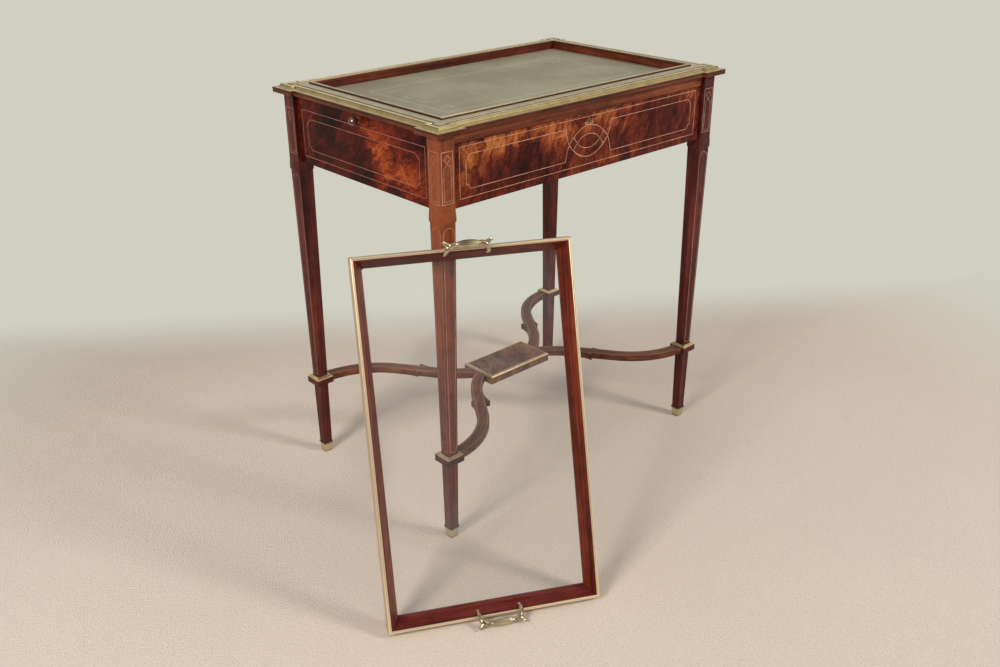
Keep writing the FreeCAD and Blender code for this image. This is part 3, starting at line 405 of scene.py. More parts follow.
def brass_toned_by_height(name, axis, low, high, stops, roughness, age=1.0, inner=None):
    """Return old brass whose tone follows its height; on the mouldings the stops paint shade into
    the quirks and highlights onto the crowns.

    The height is measured along an axis, from low to high in millimetres. Inner gives the
    half lengths of an opening and the colour of a painted reflection of its walls, laid on the
    low parts that face it.
    """
    metal = Finish(name)
    place = metal.object_place()
    height = metal.reach(place, axis)
    spots = metal.noise(place, scale=420.0, detail=3.0)
    cloud = metal.noise(place, scale=38.0, detail=5.0, roughness=0.6)
    wander = height + (cloud - 0.5) * 0.0002
    level = metal.node("MapRange", {0: wander, 1: low * MM, 2: high * MM})
    colour = metal.ramp(level, *stops)
    if inner:
        half_x, half_y, tone = inner
        past_x = metal.maths("ABSOLUTE", metal.reach(place, ALONG)) - half_x * MM
        past_y = metal.maths("ABSOLUTE", metal.reach(place, ACROSS)) - half_y * MM
        outward = metal.maths("MAXIMUM", past_x, past_y)
        # Painted reflection: the low flanks facing the opening take the colour of its walls.
        reflection_side = 1.0 - metal.step(outward, 0.0008, 0.0030)
        colour = metal.mix(colour, tone, reflection_side * (1.0 - metal.step(level, 0.50, 0.85)))
    patina = metal.step(cloud, 0.42, 0.68) * 0.35 + metal.step(spots, 0.50, 0.70) * 0.3
    colour = metal.mix(colour, (0.16, 0.11, 0.05), patina * age)
    return metal.finish(
        Base_Color=colour,
        Metallic=0.88,
        Roughness=roughness + cloud * 0.16 + spots * 0.06,
        Normal=metal.bump(spots, 0.12, 0.0002),
    )


def boxwood(name, dark, light):
    """Return the light stringing let into the veneer."""
    wood = Finish(name)
    place = wood.object_place()
    cloud = wood.noise(place, scale=60.0, detail=3.0)
    fine = wood.noise(place, scale=900.0, detail=2.0)
    colour = wood.mix(dark, light, wood.step(cloud, 0.35, 0.65))
    colour = wood.mix(colour, (0.24, 0.09, 0.04), wood.step(fine, 0.5, 0.7) * 0.5)
    return wood.finish(
        Base_Color=colour, Roughness=0.32 + fine * 0.1, Coat_Weight=0.4, Coat_Roughness=0.15
    )


def old_leather():
    """Return worn olive-brown leather: fine pebbling, rubbed patches and dark creases."""
    hide = Finish("old_leather")
    place = hide.object_place()
    cloud = hide.noise(place, scale=7.0, detail=4.0, roughness=0.55)
    rub = hide.noise(place, scale=30.0, detail=5.0, roughness=0.65)
    pebble = hide.node("TexVoronoi", {"Vector": place, "Scale": 900.0}, feature="F1")
    crease = hide.noise(place, scale=160.0, detail=5.0, distortion=1.2)
    colour = hide.mix((0.225, 0.200, 0.130), (0.30, 0.275, 0.185), hide.step(cloud, 0.35, 0.65))
    colour = hide.mix(colour, (0.36, 0.325, 0.225), hide.step(rub, 0.5, 0.8) * 0.5)
    colour = hide.mix(colour, (0.07, 0.055, 0.03), hide.step(crease, 0.62, 0.72) * 0.35)
    normal = hide.bump(pebble * 0.6 + crease * 0.4, 0.35, 0.0004)
    return hide.finish(Base_Color=colour, Roughness=0.42 + rub * 0.2, Normal=normal)


def gilt_tooling():
    """Return gilding pressed into the leather, worn off in patches."""
    line = Finish("gilt_tooling")
    worn = line.noise(line.object_place(), scale=130.0, detail=4.0)
    return line.finish(
        Base_Color=line.mix((0.60, 0.53, 0.36), (0.25, 0.215, 0.135), line.step(worn, 0.50, 0.72)),
        Roughness=0.45 + worn * 0.1,
        Metallic=0.3,
    )


def clear_glass():
    """Return a thin clear pane: see-through, with a sheen that grows at a slant."""
    pane = Finish("clear_glass")
    slant = pane.node("Fresnel", {"IOR": 1.5})
    place = pane.object_place()
    smear = pane.noise(place, scale=9.0, detail=4.0, distortion=0.6)
    film = pane.step(smear, 0.45, 0.75)
    return pane.finish(
        Base_Color=pane.mix((0.86, 0.90, 0.92), (0.74, 0.80, 0.88), film),
        Metallic=0.35,
        Roughness=0.03 + film * 0.05,
        Alpha=0.01 + slant * 0.30 + film * 0.03,
    )


def grey_steel():
    """Return plain filed steel."""
    metal = Finish("filed_steel")
    place = metal.object_place()
    line = metal.noise(metal.turned(place, (0.0, 0.0, 0.0), (0.01, 0.01, 0.0004)), detail=3.0)
    cloud = metal.noise(place, scale=90.0, detail=3.0)
    colour = metal.mix((0.42, 0.42, 0.43), (0.24, 0.22, 0.20), cloud)
    return metal.finish(
        Base_Color=colour,
        Metallic=0.95,
        Roughness=0.3 + line * 0.15,
        Normal=metal.bump(line, 0.2, 0.0002),
    )


BROWN_RED = ((0.050, 0.010, 0.005), (0.165, 0.038, 0.014), (0.32, 0.092, 0.030))
# A darker, browner mahogany for the stretcher arms: partly the wood's tone, partly a painted
# reflection on their tops.
ARM_TONE_AND_REFLECTION = ((0.034, 0.010, 0.006), (0.110, 0.034, 0.017), (0.22, 0.078, 0.036))
PLUM = ((0.023, 0.004, 0.005), (0.070, 0.012, 0.011), (0.160, 0.034, 0.020))
# Lighter tones used only on the near leg.
NEAR_LEG_TONES = ((0.028, 0.006, 0.007), (0.096, 0.020, 0.015), (0.25, 0.062, 0.020))
DARK_RED = ((0.030, 0.004, 0.003), (0.115, 0.016, 0.007), (0.23, 0.042, 0.015))
# A darker red for the top rails: partly the wood's own tone, partly painted shade on the well's
# walls and on the fillet under the moulding.
RIM_SHADED_BROWN = ((0.029, 0.006, 0.004), (0.098, 0.020, 0.009), (0.20, 0.049, 0.019))
# Painted light and shade on the tray's rails: a lighter brown for the lit left rail, a darker plum
# for the shaded bottom rail.
TRAY_LIT_BROWN = ((0.036, 0.009, 0.007), (0.140, 0.034, 0.021), (0.26, 0.070, 0.038))
TRAY_SHADED_PLUM = ((0.022, 0.003, 0.004), (0.080, 0.010, 0.009), (0.15, 0.026, 0.018))
FLAME = (
    (0.018, 0.0035, 0.0034),
    (0.064, 0.0095, 0.0066),
    (0.150, 0.025, 0.0095),
    (0.30, 0.070, 0.019),
    (0.50, 0.175, 0.048),
)
FLAME_RED = (
    (0.011, 0.0022, 0.0018),
    (0.038, 0.0050, 0.0032),
    (0.105, 0.0110, 0.0045),
    (0.205, 0.026, 0.0065),
    (0.37, 0.080, 0.016),
)
PLATE_BROWN = (
    (0.040, 0.016, 0.009),
    (0.120, 0.052, 0.028),
    (0.210, 0.100, 0.056),
    (0.30, 0.155, 0.090),
    (0.40, 0.230, 0.140),
)
wood_along = mahogany("mahogany_along", ALONG, BROWN_RED)
leg_wood = mahogany("mahogany_leg", UPWARD, PLUM)
collar_wood = mahogany("mahogany_collar", ALONG, PLUM)
# The near leg alone is lightened in bands by height, or darkened where the amount is below 0.
near_lifts = (
    (0.160, 0.172, 0.05),
    (0.20, 0.55, 0.07),
    (0.583, 0.590, 0.15),
    (0.612, 0.622, -0.05),
)
near_leg_wood = mahogany("mahogany_near_leg", UPWARD, NEAR_LEG_TONES, lifts=near_lifts)
# Top rails: darker mahogany, partly painted shade.
shaded_rim_along = mahogany("mahogany_rim_along", ALONG, RIM_SHADED_BROWN)
shaded_rim_across = mahogany("mahogany_rim_across", ACROSS, RIM_SHADED_BROWN)
stringing = boxwood("stringing_wood", (0.42, 0.19, 0.11), (0.64, 0.37, 0.24))
dull_stringing = boxwood("stringing_dull", (0.25, 0.085, 0.042), (0.38, 0.165, 0.095))
arm_stringing = boxwood("stringing_arm", (0.28, 0.13, 0.08), (0.44, 0.24, 0.15))
# Painted light: shade over the lower bead's face and in the quirk under the arris, highlights on
# the lower bead's top and on the arris; the cove keeps its olive brass colour.
gilt = brass_toned_by_height("moulding_brass", UPWARD, FILLET_TOP, TABLE_TOP, (
    (0.00, (0.060, 0.026, 0.012)),
    (1.00, (0.82, 0.68, 0.40)),
    (0.32, (0.095, 0.045, 0.020)),
    (0.38, (0.80, 0.59, 0.37)),
    (0.43, (0.72, 0.52, 0.30)),
    (0.48, (0.42, 0.325, 0.15)),
    (0.84, (0.46, 0.385, 0.20)),
    (0.90, (0.190, 0.145, 0.065)),
    (0.94, (0.170, 0.130, 0.060)),
    (0.965, (0.78, 0.64, 0.36)),
), 0.26)
# Painted light: shade on the bead's low flanks and a highlight on its crown; the inner flank takes
# a painted reflection of the well's red wood.
bead_brass = brass_toned_by_height("bead_brass", UPWARD, TABLE_TOP, BEAD_TOP, (
    (0.00, (0.035, 0.022, 0.008)),
    (1.00, (0.70, 0.60, 0.46)),
    (0.52, (0.075, 0.050, 0.020)),
    (0.78, (0.60, 0.49, 0.36)),
), 0.24, inner=(WELL_X, WELL_Y, (0.150, 0.036, 0.024)))
band_brass = brass("band_brass", (0.62, 0.52, 0.40), (0.49, 0.405, 0.30), 0.34)
handle_brass = brass("handle_brass", (0.70, 0.60, 0.42), (0.25, 0.19, 0.10), 0.12, 0.95)
ring_brass = brass("ring_brass", (0.63, 0.45, 0.30), (0.35, 0.23, 0.14), 0.24, 0.9)
collar_brass = brass("collar_brass", (0.74, 0.58, 0.33), (0.44, 0.32, 0.17), 0.20, 0.9)
# The near collar ring's pinkish brown is partly patina and partly a painted reflection of the
# mahogany round it.
near_ring_reflecting_wood = brass("near_ring_brass", (0.56, 0.38, 0.27), (0.30, 0.185, 0.12), 0.22, 0.9)
key_brass = brass("key_plate_brass", (0.40, 0.29, 0.14), (0.17, 0.11, 0.05), 0.25, 0.9)
shoe_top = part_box("sabot_front_left")[1][2] / MM
shoe_brass = brass_toned_by_height("shoe_brass", UPWARD, 0.0, shoe_top, (
    (0.00, (0.34, 0.27, 0.14)),
    (1.00, (0.20, 0.15, 0.08)),
    (0.20, (0.62, 0.53, 0.33)),
    (0.78, (0.66, 0.57, 0.37)),
    (0.86, (0.10, 0.07, 0.03)),
    (0.93, (0.09, 0.06, 0.03)),
), 0.3)
lock_brass = brass("lock_brass", (0.64, 0.52, 0.28), (0.42, 0.32, 0.15), 0.28)
knob_bronze = brass("knob_bronze", (0.44, 0.29, 0.25), (0.13, 0.07, 0.055), 0.2, 0.9)
leather = old_leather()
tooling = gilt_tooling()
glass = clear_glass()
steel = grey_steel()
front_glow = (
    ((-0.080, 0.705), (0.280, 0.007), 0.0, 0.16),
    ((-0.240, 0.696), (0.080, 0.011), 0.0, 0.26),
    ((-0.278, 0.668), (0.012, 0.032), 0.2, 0.34),
    ((-0.228, 0.688), (0.050, 0.012), -0.2, 0.18),
    ((-0.254, 0.662), (0.016, 0.014), -0.6, 0.12),
    ((-0.150, 0.692), (0.055, 0.009), 0.0, 0.20),
    ((-0.070, 0.686), (0.034, 0.018), 0.4, 0.36),
    ((-0.082, 0.662), (0.024, 0.024), -0.3, 0.26),
    ((-0.010, 0.674), (0.016, 0.010), 0.0, 0.22),
    ((0.036, 0.697), (0.026, 0.010), 0.0, 0.24),
    ((0.062, 0.680), (0.016, 0.016), 0.2, 0.34),
    ((0.096, 0.670), (0.026, 0.012), -0.8, 0.24),
    ((0.262, 0.693), (0.040, 0.010), 0.0, 0.24),
    ((0.288, 0.672), (0.010, 0.030), 0.0, 0.16),
    ((0.060, 0.622), (0.060, 0.007), 0.0, 0.18),
    ((-0.150, 0.645), (0.080, 0.030), 0.0, -0.18),
    ((0.190, 0.655), (0.080, 0.030), 0.0, -0.06),
)
side_glow = (
    ((0.040, 0.672), (0.060, 0.024), 0.6, 0.30),
    ((0.105, 0.650), (0.075, 0.030), 0.5, 0.28),
    ((0.056, 0.636), (0.022, 0.022), 0.9, 0.24),
    ((-0.075, 0.660), (0.060, 0.050), 0.0, -0.22),
)
front_flame = flame_mahogany("flame_front", (0.0, 0.0, 0.0), 0.32, front_glow, FLAME)
left_flame = flame_mahogany("flame_left", (0.0, 0.0, -math.pi / 2), 1.05, side_glow, FLAME_RED)
right_flame = flame_mahogany("flame_right", (0.0, 0.0, math.pi / 2), -0.9, side_glow, FLAME_RED)
back_flame = flame_mahogany("flame_back", (0.0, 0.0, math.pi), 0.4, front_glow, FLAME)
plate_clouds = (((0.005, 0.0), (0.046, 0.022), 0.3, -0.20),)
lying = (-math.pi / 2, 0.0, 0.0)
plate_figure = flame_mahogany("figure_plate", lying, 0.5, plate_clouds, PLATE_BROWN)

# The tray's own axes: across its width, up its length, and out of its face

TRAY_HEADING = math.radians(27.77)
TRAY_LEAN = math.radians(19.2)
tray_side = np.array([math.cos(TRAY_HEADING), -math.sin(TRAY_HEADING), 0.0])
tray_level = np.array([math.sin(TRAY_HEADING), math.cos(TRAY_HEADING), 0.0])
tray_up = tray_level * math.sin(TRAY_LEAN) + np.array([0.0, 0.0, math.cos(TRAY_LEAN)])
tray_out = np.cross(tray_side, tray_up)
TRAY_AXES = np.stack([tray_side, tray_up, tray_out])


def node_points(name):
    """Return a CAD node's corners in millimetres."""
    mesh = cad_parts[name].data
    points = np.empty(len(mesh.vertices) * 3)
    mesh.vertices.foreach_get("co", points)
    return points.reshape(-1, 3) / MM


edging = node_points("tray_edging") @ TRAY_AXES.T
tray_corner = edging.min(axis=0)
TRAY_WIDE, TRAY_LONG = (edging.max(axis=0) - tray_corner)[:2]


def on_tray(points):
    """Carry points from the tray's own axes to the table's frame."""
    return (points + tray_corner) @ TRAY_AXES


lip_foot = float(tray_corner[2])
# Painted light: a highlight on the crown, and shade in two quirks below it and at the foot beside
# the rail.
lip_brass = brass_toned_by_height("lip_brass", tuple(tray_out), lip_foot, lip_foot + LIP_HIGH, (
    (0.00, (0.34, 0.23, 0.15)),
    (1.00, (0.94, 0.79, 0.55)),
    (0.08, (0.66, 0.47, 0.33)),
    (0.70, (0.70, 0.50, 0.35)),
    (0.74, (0.47, 0.32, 0.21)),
    (0.78, (0.70, 0.51, 0.34)),
    (0.83, (0.66, 0.47, 0.31)),
    (0.86, (0.46, 0.32, 0.20)),
    (0.885, (0.46, 0.32, 0.20)),
    (0.905, (0.94, 0.79, 0.57)),
), 0.24, 0.15)
# The tray's rails are one mahogany: the left rail's lighter copy is painted light, the bottom
# rail's darker copy painted shade.
wood_tray_up = mahogany("mahogany_tray_up", tuple(tray_up), DARK_RED)
wood_tray_side = mahogany("mahogany_tray_side", tuple(tray_side), DARK_RED)
wood_tray_low_shaded = mahogany("mahogany_tray_low_shaded", tuple(tray_side), TRAY_SHADED_PLUM)
wood_tray_left_lit = mahogany("mahogany_tray_left_lit", tuple(tray_up), TRAY_LIT_BROWN)

# Surfaces

HAIRLINE = 0.05


def quads(rows, columns, close_rows=False):
    """Return the four-cornered faces between rings of points, one ring a row."""
    down = np.arange(rows if close_rows else rows - 1)
    row, column = np.meshgrid(down, np.arange(columns), indexing="ij")
    start, following = row * columns, (row + 1) % rows * columns
    beside = (column + 1) % columns
    corners = [start + column, following + column, following + beside, start + beside]
    return np.stack(corners, -1).reshape(-1, 4).tolist()


def rod_faces(rows, columns):
    """Return the faces between rings of points, with a lid on the first and the last ring."""
    ring = np.arange(columns)
    return quads(rows, columns) + [ring.tolist(), (ring + (rows - 1) * columns).tolist()]


def joined(*surfaces):
    """Return several closed surfaces as one."""
    points, faces, start = [], [], 0
    for spots, sides in surfaces:
        points.append(spots)
        faces += [[corner + start for corner in side] for side in sides]
        start += len(spots)
    return np.concatenate(points), faces


def put(name, surface, finish, body, nodes=(), crease=38.0):
    """Make a piece of a closed surface, let it ride on a body and stand for CAD nodes.

    Edges that turn by more than crease degrees stay sharp.
    """
    points, faces = surface
    mesh = bpy.data.meshes.new(name)
    mesh.from_pydata((points * MM).tolist(), [], faces)
    shells = bmesh.new()
    shells.from_mesh(mesh)
    bmesh.ops.recalc_face_normals(shells, faces=shells.faces)
    shells.to_mesh(mesh)
    shells.free()
    mesh.shade_smooth()
    mesh.set_sharp_from_angle(angle=math.radians(crease))
    mesh.materials.append(finish)
    piece = bpy.data.objects.new(name, mesh)
    bpy.context.scene.collection.objects.link(piece)
    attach(piece, body)
    if nodes:
        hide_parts(*nodes)


def unit(vectors):
    """Return vectors of length 1."""
    return vectors / np.linalg.norm(vectors, axis=-1, keepdims=True)


def mitres(path):
    """Return at each corner of a closed path the outward vector that keeps an offset even."""
    ahead = unit(np.roll(path, -1, axis=0) - path)
    side = np.stack([ahead[:, 1], -ahead[:, 0]], -1)
    before = np.roll(side, 1, axis=0)
    return (side + before) / (1.0 + (side * before).sum(axis=1, keepdims=True))


def carried(path, profile, joints):
    """Carry a closed profile of (outward, height) round a closed path, in lengths cut at joints.

    A point is the path's corner plus its mitre times the outward distance. At a joint the
    two lengths stop a hair apart.
    """
    path = np.array(path, float)
    profile = np.array(profile, float)
    out = mitres(path)
    ahead = unit(np.roll(path, -1, axis=0) - path)
    lengths = []
    for first, last in zip(joints, joints[1:] + joints[:1]):
        count = (last - first) % len(path) or len(path)
        index = (first + np.arange(count + 1)) % len(path)
        spine = path[index].copy()
        spine[0] += ahead[first] * HAIRLINE
        spine[-1] -= ahead[last - 1] * HAIRLINE
        plan = spine[:, None, :] + out[index][:, None, :] * profile[None, :, 0, None]
        level = np.broadcast_to(profile[None, :, 1, None], plan.shape[:2] + (1,))
        points = np.concatenate([plan, level], -1).reshape(-1, 3)
        lengths.append((points, rod_faces(count + 1, len(profile))))
    return joined(*lengths)


def arc(start, end, bow, count=10):
    """Return points of the arc from start to end that rises to the right by bow."""
    a, b = np.array(start, float), np.array(end, float)
    chord = b - a
    length = np.linalg.norm(chord)
    side = np.array([chord[1], -chord[0]]) / length
    radius = (length * length / 4 + bow * bow) / (2 * bow)
    centre = (a + b) / 2 + side * (bow - radius)
    half = math.asin(min(1.0, length / (2 * abs(radius))))
    swing = np.linspace(-half, half, count)
    direction = side * math.copysign(1.0, radius)
    along = chord / length
    reach = abs(radius)
    return centre + reach * (np.cos(swing)[:, None] * direction + np.sin(swing)[:, None] * along)


def smooth_line(points, per_span=8):
    """Return a Catmull-Rom curve through the points, each span cut evenly."""
    p = np.array(points, float)
    p = np.concatenate([2 * p[:1] - p[1:2], p, 2 * p[-1:] - p[-2:-1]])
    t = np.linspace(0, 1, per_span, endpoint=False)[None, :, None]
    a, b, c, d = p[:-3, None], p[1:-2, None], p[2:-1, None], p[3:, None]
    curve = 0.5 * (
        2 * b + (c - a) * t + (2 * a - 5 * b + 4 * c - d) * t**2 + (3 * b - a - 3 * c + d) * t**3
    )
    return np.concatenate([curve.reshape(-1, p.shape[1]), p[-2:-1]])


def tube(points, radii, sides=18, flute=0.0, flutes=6, squash=1.0):
    """Return a closed rod along a line of points.

    Round each point lies a ring in the plane square to the line; its radius is the given one
    times 1 + flute * cos(flutes * angle), and squash flattens it along its second axis.
    """
    points = np.array(points, float)
    radii = np.array(radii, float)
    ahead = unit(np.gradient(points, axis=0))
    first = np.cross(ahead, UPWARD)
    weak = np.linalg.norm(first, axis=1, keepdims=True) < 0.2
    first = unit(np.where(weak, np.cross(ahead, ACROSS), first))
    second = np.cross(ahead, first)
    angle = np.linspace(0, 2 * math.pi, sides, endpoint=False)
    swell = 1.0 + flute * np.cos(flutes * angle)
    ring = np.cos(angle)[None, :, None] * first[:, None] * swell[None, :, None]
    ring = ring + squash * np.sin(angle)[None, :, None] * second[:, None] * swell[None, :, None]
    grid = points[:, None] + radii[:, None, None] * ring
    return grid.reshape(-1, 3), rod_faces(len(points), sides)


def turned_on(centre, axis, profile, sides=48):
    """Return a closed turning: a profile of (along the axis, radius) spun round the axis."""
    axis = np.array(axis, float)
    first = unit(np.cross(axis, (0.3, 0.5, 0.8)))
    second = np.cross(axis, first)
    profile = np.array(profile, float)
    angle = np.linspace(0, 2 * math.pi, sides, endpoint=False)
    ring = np.cos(angle)[:, None] * first + np.sin(angle)[:, None] * second
    forward, outward = profile[:, None, :1], profile[:, None, 1:]
    points = np.array(centre, float) + forward * axis + outward * ring
    return points.reshape(-1, 3), rod_faces(len(profile), sides)


# Brass round the top: an edge moulding that breaks over the legs, a flat band, a raised bead


def stepped_outline():
    """Return the plan of the frieze and its leg blocks, anticlockwise, 5 corners at each leg."""
    quarter = [
        (FACE_X, LEG_IN_Y),
        (LEGS_LONG, LEG_IN_Y),
        (LEGS_LONG, LEGS_DEEP),
        (LEG_IN_X, LEGS_DEEP),
        (LEG_IN_X, FACE_Y),
    ]
    plan = list(quarter)
    plan += [(-x, y) for x, y in quarter[::-1]]
    plan += [(-x, -y) for x, y in quarter]
    plan += [(x, -y) for x, y in quarter[::-1]]
    return plan


def oblong(half_x, half_y):
    """Return a rectangle's corners, anticlockwise."""
    return [(half_x, -half_y), (half_x, half_y), (-half_x, half_y), (-half_x, -half_y)]


BREAKS = [2, 7, 12, 17]
edge_profile = np.concatenate([
    [(1.0, FILLET_TOP), (12.6, FILLET_TOP)],
    arc((13.1, 731.15), (12.3, 734.3), 0.95, 9),
    [(12.0, 734.5), (9.8, 734.7)],
    arc((9.6, 734.7), (3.6, 737.4), -1.3, 9),
    arc((3.4, 737.6), (1.0, TABLE_TOP), 0.9, 9),
    [(-2.4, TABLE_TOP), (-2.8, 739.3), (-6.0, 739.3)],
    [(-6.0, RIM_WOOD_TOP), (1.0, RIM_WOOD_TOP)],
])
edge = carried(stepped_outline(), edge_profile, BREAKS)
put("edge_moulding_dressed", edge, gilt, "table", ["edge_moulding"])
bead_profile = np.concatenate([
    [(0.0, RIM_WOOD_TOP), (5.5, RIM_WOOD_TOP), (5.5, 741.0), (5.1, 741.3)],
    arc((5.1, 741.4), (0.4, 741.4), 2.35, 13),
    [(0.4, 741.3), (0.0, 741.0)],
])
bead = carried(oblong(WELL_X, WELL_Y), bead_profile, [0, 1, 2, 3])
put("inner_bead_dressed", bead, bead_brass, "table", ["inner_bead"])

# The stretcher plate's rounded brass edging; the collars' rings keep their solids

plate_low, plate_high = (np.array(corner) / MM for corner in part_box("plate_moulding"))
plate_x, plate_y = plate_high[:2] - PLATE_EDGE_WIDE
plate_profile = np.concatenate([
    [(0.0, plate_low[2]), (5.4, plate_low[2])],
    arc((5.45, plate_low[2] + 0.1), (2.2, plate_high[2] - 0.5), 0.55, 8),
    arc((1.9, plate_high[2] - 0.5), (0.1, plate_high[2] - 0.5), 0.45, 7),
    [(0.0, plate_high[2] - 0.7)],
])
plate_edge = carried(oblong(plate_x, plate_y), plate_profile, [0, 1, 2, 3])
put("plate_edging_dressed", plate_edge, ring_brass, "table", ["plate_moulding"])

# The tray's brass edging and its two handles

lip_profile = np.concatenate([
    [(-LIP_WIDE, 0.0), (-0.8, 0.0), (-0.3, 0.5), (-0.3, 20.5), (-0.7, 21.2), (-0.7, 22.6)],
    arc((-0.35, 22.8), (-0.35, 24.6), 0.3, 5),
    [(-0.9, 25.0), (-0.9, 26.2)],
    arc((-0.35, 26.6), (-LIP_WIDE + 0.2, 28.6), 1.95, 15),
    [(-LIP_WIDE, 27.6)],
])
tray_plan = [(TRAY_WIDE, 0.0), (TRAY_WIDE, TRAY_LONG), (0.0, TRAY_LONG), (0.0, 0.0)]
lip_points, lip_faces = carried(tray_plan, lip_profile, [0, 1, 2, 3])
lip = (on_tray(lip_points), lip_faces)
put("tray_edging_dressed", lip, lip_brass, "tray", ["tray_edging"])

HANDLE_ASIDE = 5.0


def handle():
    """Return a handle about the tray's middle: two stems with horns, a fluted bar and two roses.

    Points are (across, up the tray, out of its face) from the middle of the tray's lower end.
    """
    forms = []
    bar_half, bar_up, bar_out = 18.0, -4.5, 42.0
    horn = [
        (-6.0, 1.0), (-5.6, 3.0), (-3.2, 4.2), (0.0, 4.1), (3.0, 3.3), (5.6, 2.6), (7.8, 2.4),
        (9.2, 2.9), (9.6, 2.7), (9.4, 1.9), (8.2, 1.2), (7.0, 0.3),
    ]
    for side in (-1.0, 1.0):
        stem = smooth_line([
            (side * 34.0, 11.6, 20.5),
            (side * 34.2, 11.0, 24.0),
            (side * 34.4, 9.6, 29.5),
            (side * 33.6, 6.4, 34.6),
            (side * 31.6, 2.2, 38.6),
            (side * 28.0, -2.2, 41.2),
            (side * 22.0, -4.3, 41.9),
            (side * 13.0, bar_up, bar_out),
        ])
        share = np.linspace(0, 1, len(stem))
        stops = [0, 0.12, 0.3, 0.5, 0.62, 0.78, 1]
        radii = np.interp(share, stops, [1.3, 1.5, 2.4, 4.1, 4.9, 4.3, 3.4])
        forms.append(tube(stem, radii, sides=20, flute=0.06, flutes=5))
        forms.append(turned_on(
            (side * 30.4, -4.4, 41.8), unit(np.array([side * 0.80, -0.56, 0.18])), horn, 28
        ))
    along = np.linspace(-bar_half, bar_half, 49)
    share = np.abs(along) / bar_half
    swell = 3.4 + 2.4 * (1.0 - share**2.2) ** 1.1
    spine = np.stack([along, np.full(49, bar_up), np.full(49, bar_out)], -1)
    forms.append(tube(spine, swell, sides=36, flute=0.09, flutes=7, squash=0.85))
    ring = np.linspace(-0.9, 0.9, 7)
    swell = 3.3 + 0.8 * np.sqrt(1.0 - (ring / 0.95) ** 2)
    for spot in (-18.2, -16.3, 16.3, 18.2):
        spine = np.stack([ring + spot, np.full(7, bar_up), np.full(7, bar_out)], -1)
        forms.append(tube(spine, swell, sides=24))
    slope = unit(np.array([0.0, 21.5, 12.0]))
    rose = [(0.0, 0.3), (0.0, 2.7), (0.4, 2.7), (0.8, 2.3), (1.4, 1.9), (1.8, 1.5), (1.8, 0.3)]
    for side in (-1.0, 1.0):
        foot = np.array([side * 34.0, 11.0, 21.3]) - slope * 0.2
        forms.append(turned_on(foot, slope, rose, 32))
    return joined(*forms)


# The upper handle is the lower one turned half round in the tray's face

handle_points, handle_faces = handle()
handle_middle = TRAY_WIDE / 2 + HANDLE_ASIDE
low_place = handle_points + (handle_middle, 0.0, 0.0)
high_place = handle_points * (-1.0, -1.0, 1.0) + (handle_middle, TRAY_LONG, 0.0)
for name, place in (("tray_handle_bottom", low_place), ("tray_handle_top", high_place)):
    surface = (on_tray(place), handle_faces)
    put(name + "_dressed", surface, handle_brass, "tray", [name], crease=50.0)

# The slide's knob

knob_low, knob_high = (np.array(corner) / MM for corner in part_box("slide_knob"))
knob_middle = (knob_low[2] + knob_high[2]) / 2
ball_start, ball_long, ball_round = 3.8, 7.4, 7.9
ball = [
    (ball_start + ball_long * (1 - math.cos(turn)), ball_round * math.sin(turn))
    for turn in np.linspace(0.40, 3.10, 26)
]
knob_profile = [
    (0.0, 0.2), (0.0, 4.7), (0.5, 4.7), (0.6, 4.5), (0.7, 3.6), (1.3, 3.2), (1.9, 2.7),
    (3.0, 2.5), (3.9, 2.6),
] + ball
knob = turned_on((-FACE_X, 0.0, knob_middle), (-1.0, 0.0, 0.0), knob_profile, 56)
put("slide_knob_dressed", knob, knob_bronze, "slide", ["slide_knob"])

# Stringing: thin light lines let into the veneer. A line stands a hair proud of its face

PROUD = 0.045
SUNK = 0.4
LINE_LOW = 619.5


def offsets(path, closed):
    """Return at each point of a line the sideways vector that keeps its width even."""
    before = np.roll(path, 1, axis=0)
    after = np.roll(path, -1, axis=0)
    if not closed:
        before[0] = 2 * path[0] - path[1]
        after[-1] = 2 * path[-1] - path[-2]
    into = unit(path - before)
    on = unit(after - path)
    side = np.stack([on[:, 1], -on[:, 0]], -1)
    last = np.stack([into[:, 1], -into[:, 0]], -1)
    return (side + last) / (1.0 + (side * last).sum(axis=1, keepdims=True))


def string(path, closed=True, width=0.9):
    """Return a flat strip along a line in a face: (along, up, out of the face)."""
    path = np.array(path, float)
    side = offsets(path, closed) * width / 2
    level = np.ones((len(path), 1))
    rows = np.stack([
        np.concatenate([path - side, -SUNK * level], 1),
        np.concatenate([path - side, PROUD * level], 1),
        np.concatenate([path + side, PROUD * level], 1),
        np.concatenate([path + side, -SUNK * level], 1),
    ], axis=1)
    faces = quads(len(path), 4, close_rows=True) if closed else rod_faces(len(path), 4)
    return rows.reshape(-1, 3), faces


def on_face(surface, origin, along, up=UPWARD):
    """Lay a surface of (along, up, out) on a face given by its origin and axes."""
    points, faces = surface
    along, up = np.array(along, float), np.array(up, float)
    axes = np.stack([along, up, np.cross(along, up)])
    return points @ axes + np.array(origin, float), faces


def mirrored(path):
    """Return the line flipped left to right, its points in reverse."""
    return [(-x, z) for x, z in path[::-1]]


def both_ways(half):
    """Return a symmetrical line from its left half, which ends on the middle."""
    return half + mirrored(half)[1:]


FRONT = ((0.0, -FACE_Y, 0.0), ALONG)
LEFT = ((-FACE_X, 0.0, 0.0), (0.0, -1.0, 0.0))
RIGHT = ((FACE_X, 0.0, 0.0), ACROSS)
BACK = ((0.0, FACE_Y, 0.0), (-1.0, 0.0, 0.0))


def upended(path, level):
    """Return the line flipped top to bottom about a level."""
    return path * (1.0, -1.0) + (0.0, 2 * level)


def upright_oblong(half, low, high):
    """Return a rectangle about the face's middle line."""
    return [(half, low), (half, high), (-half, high), (-half, low)]


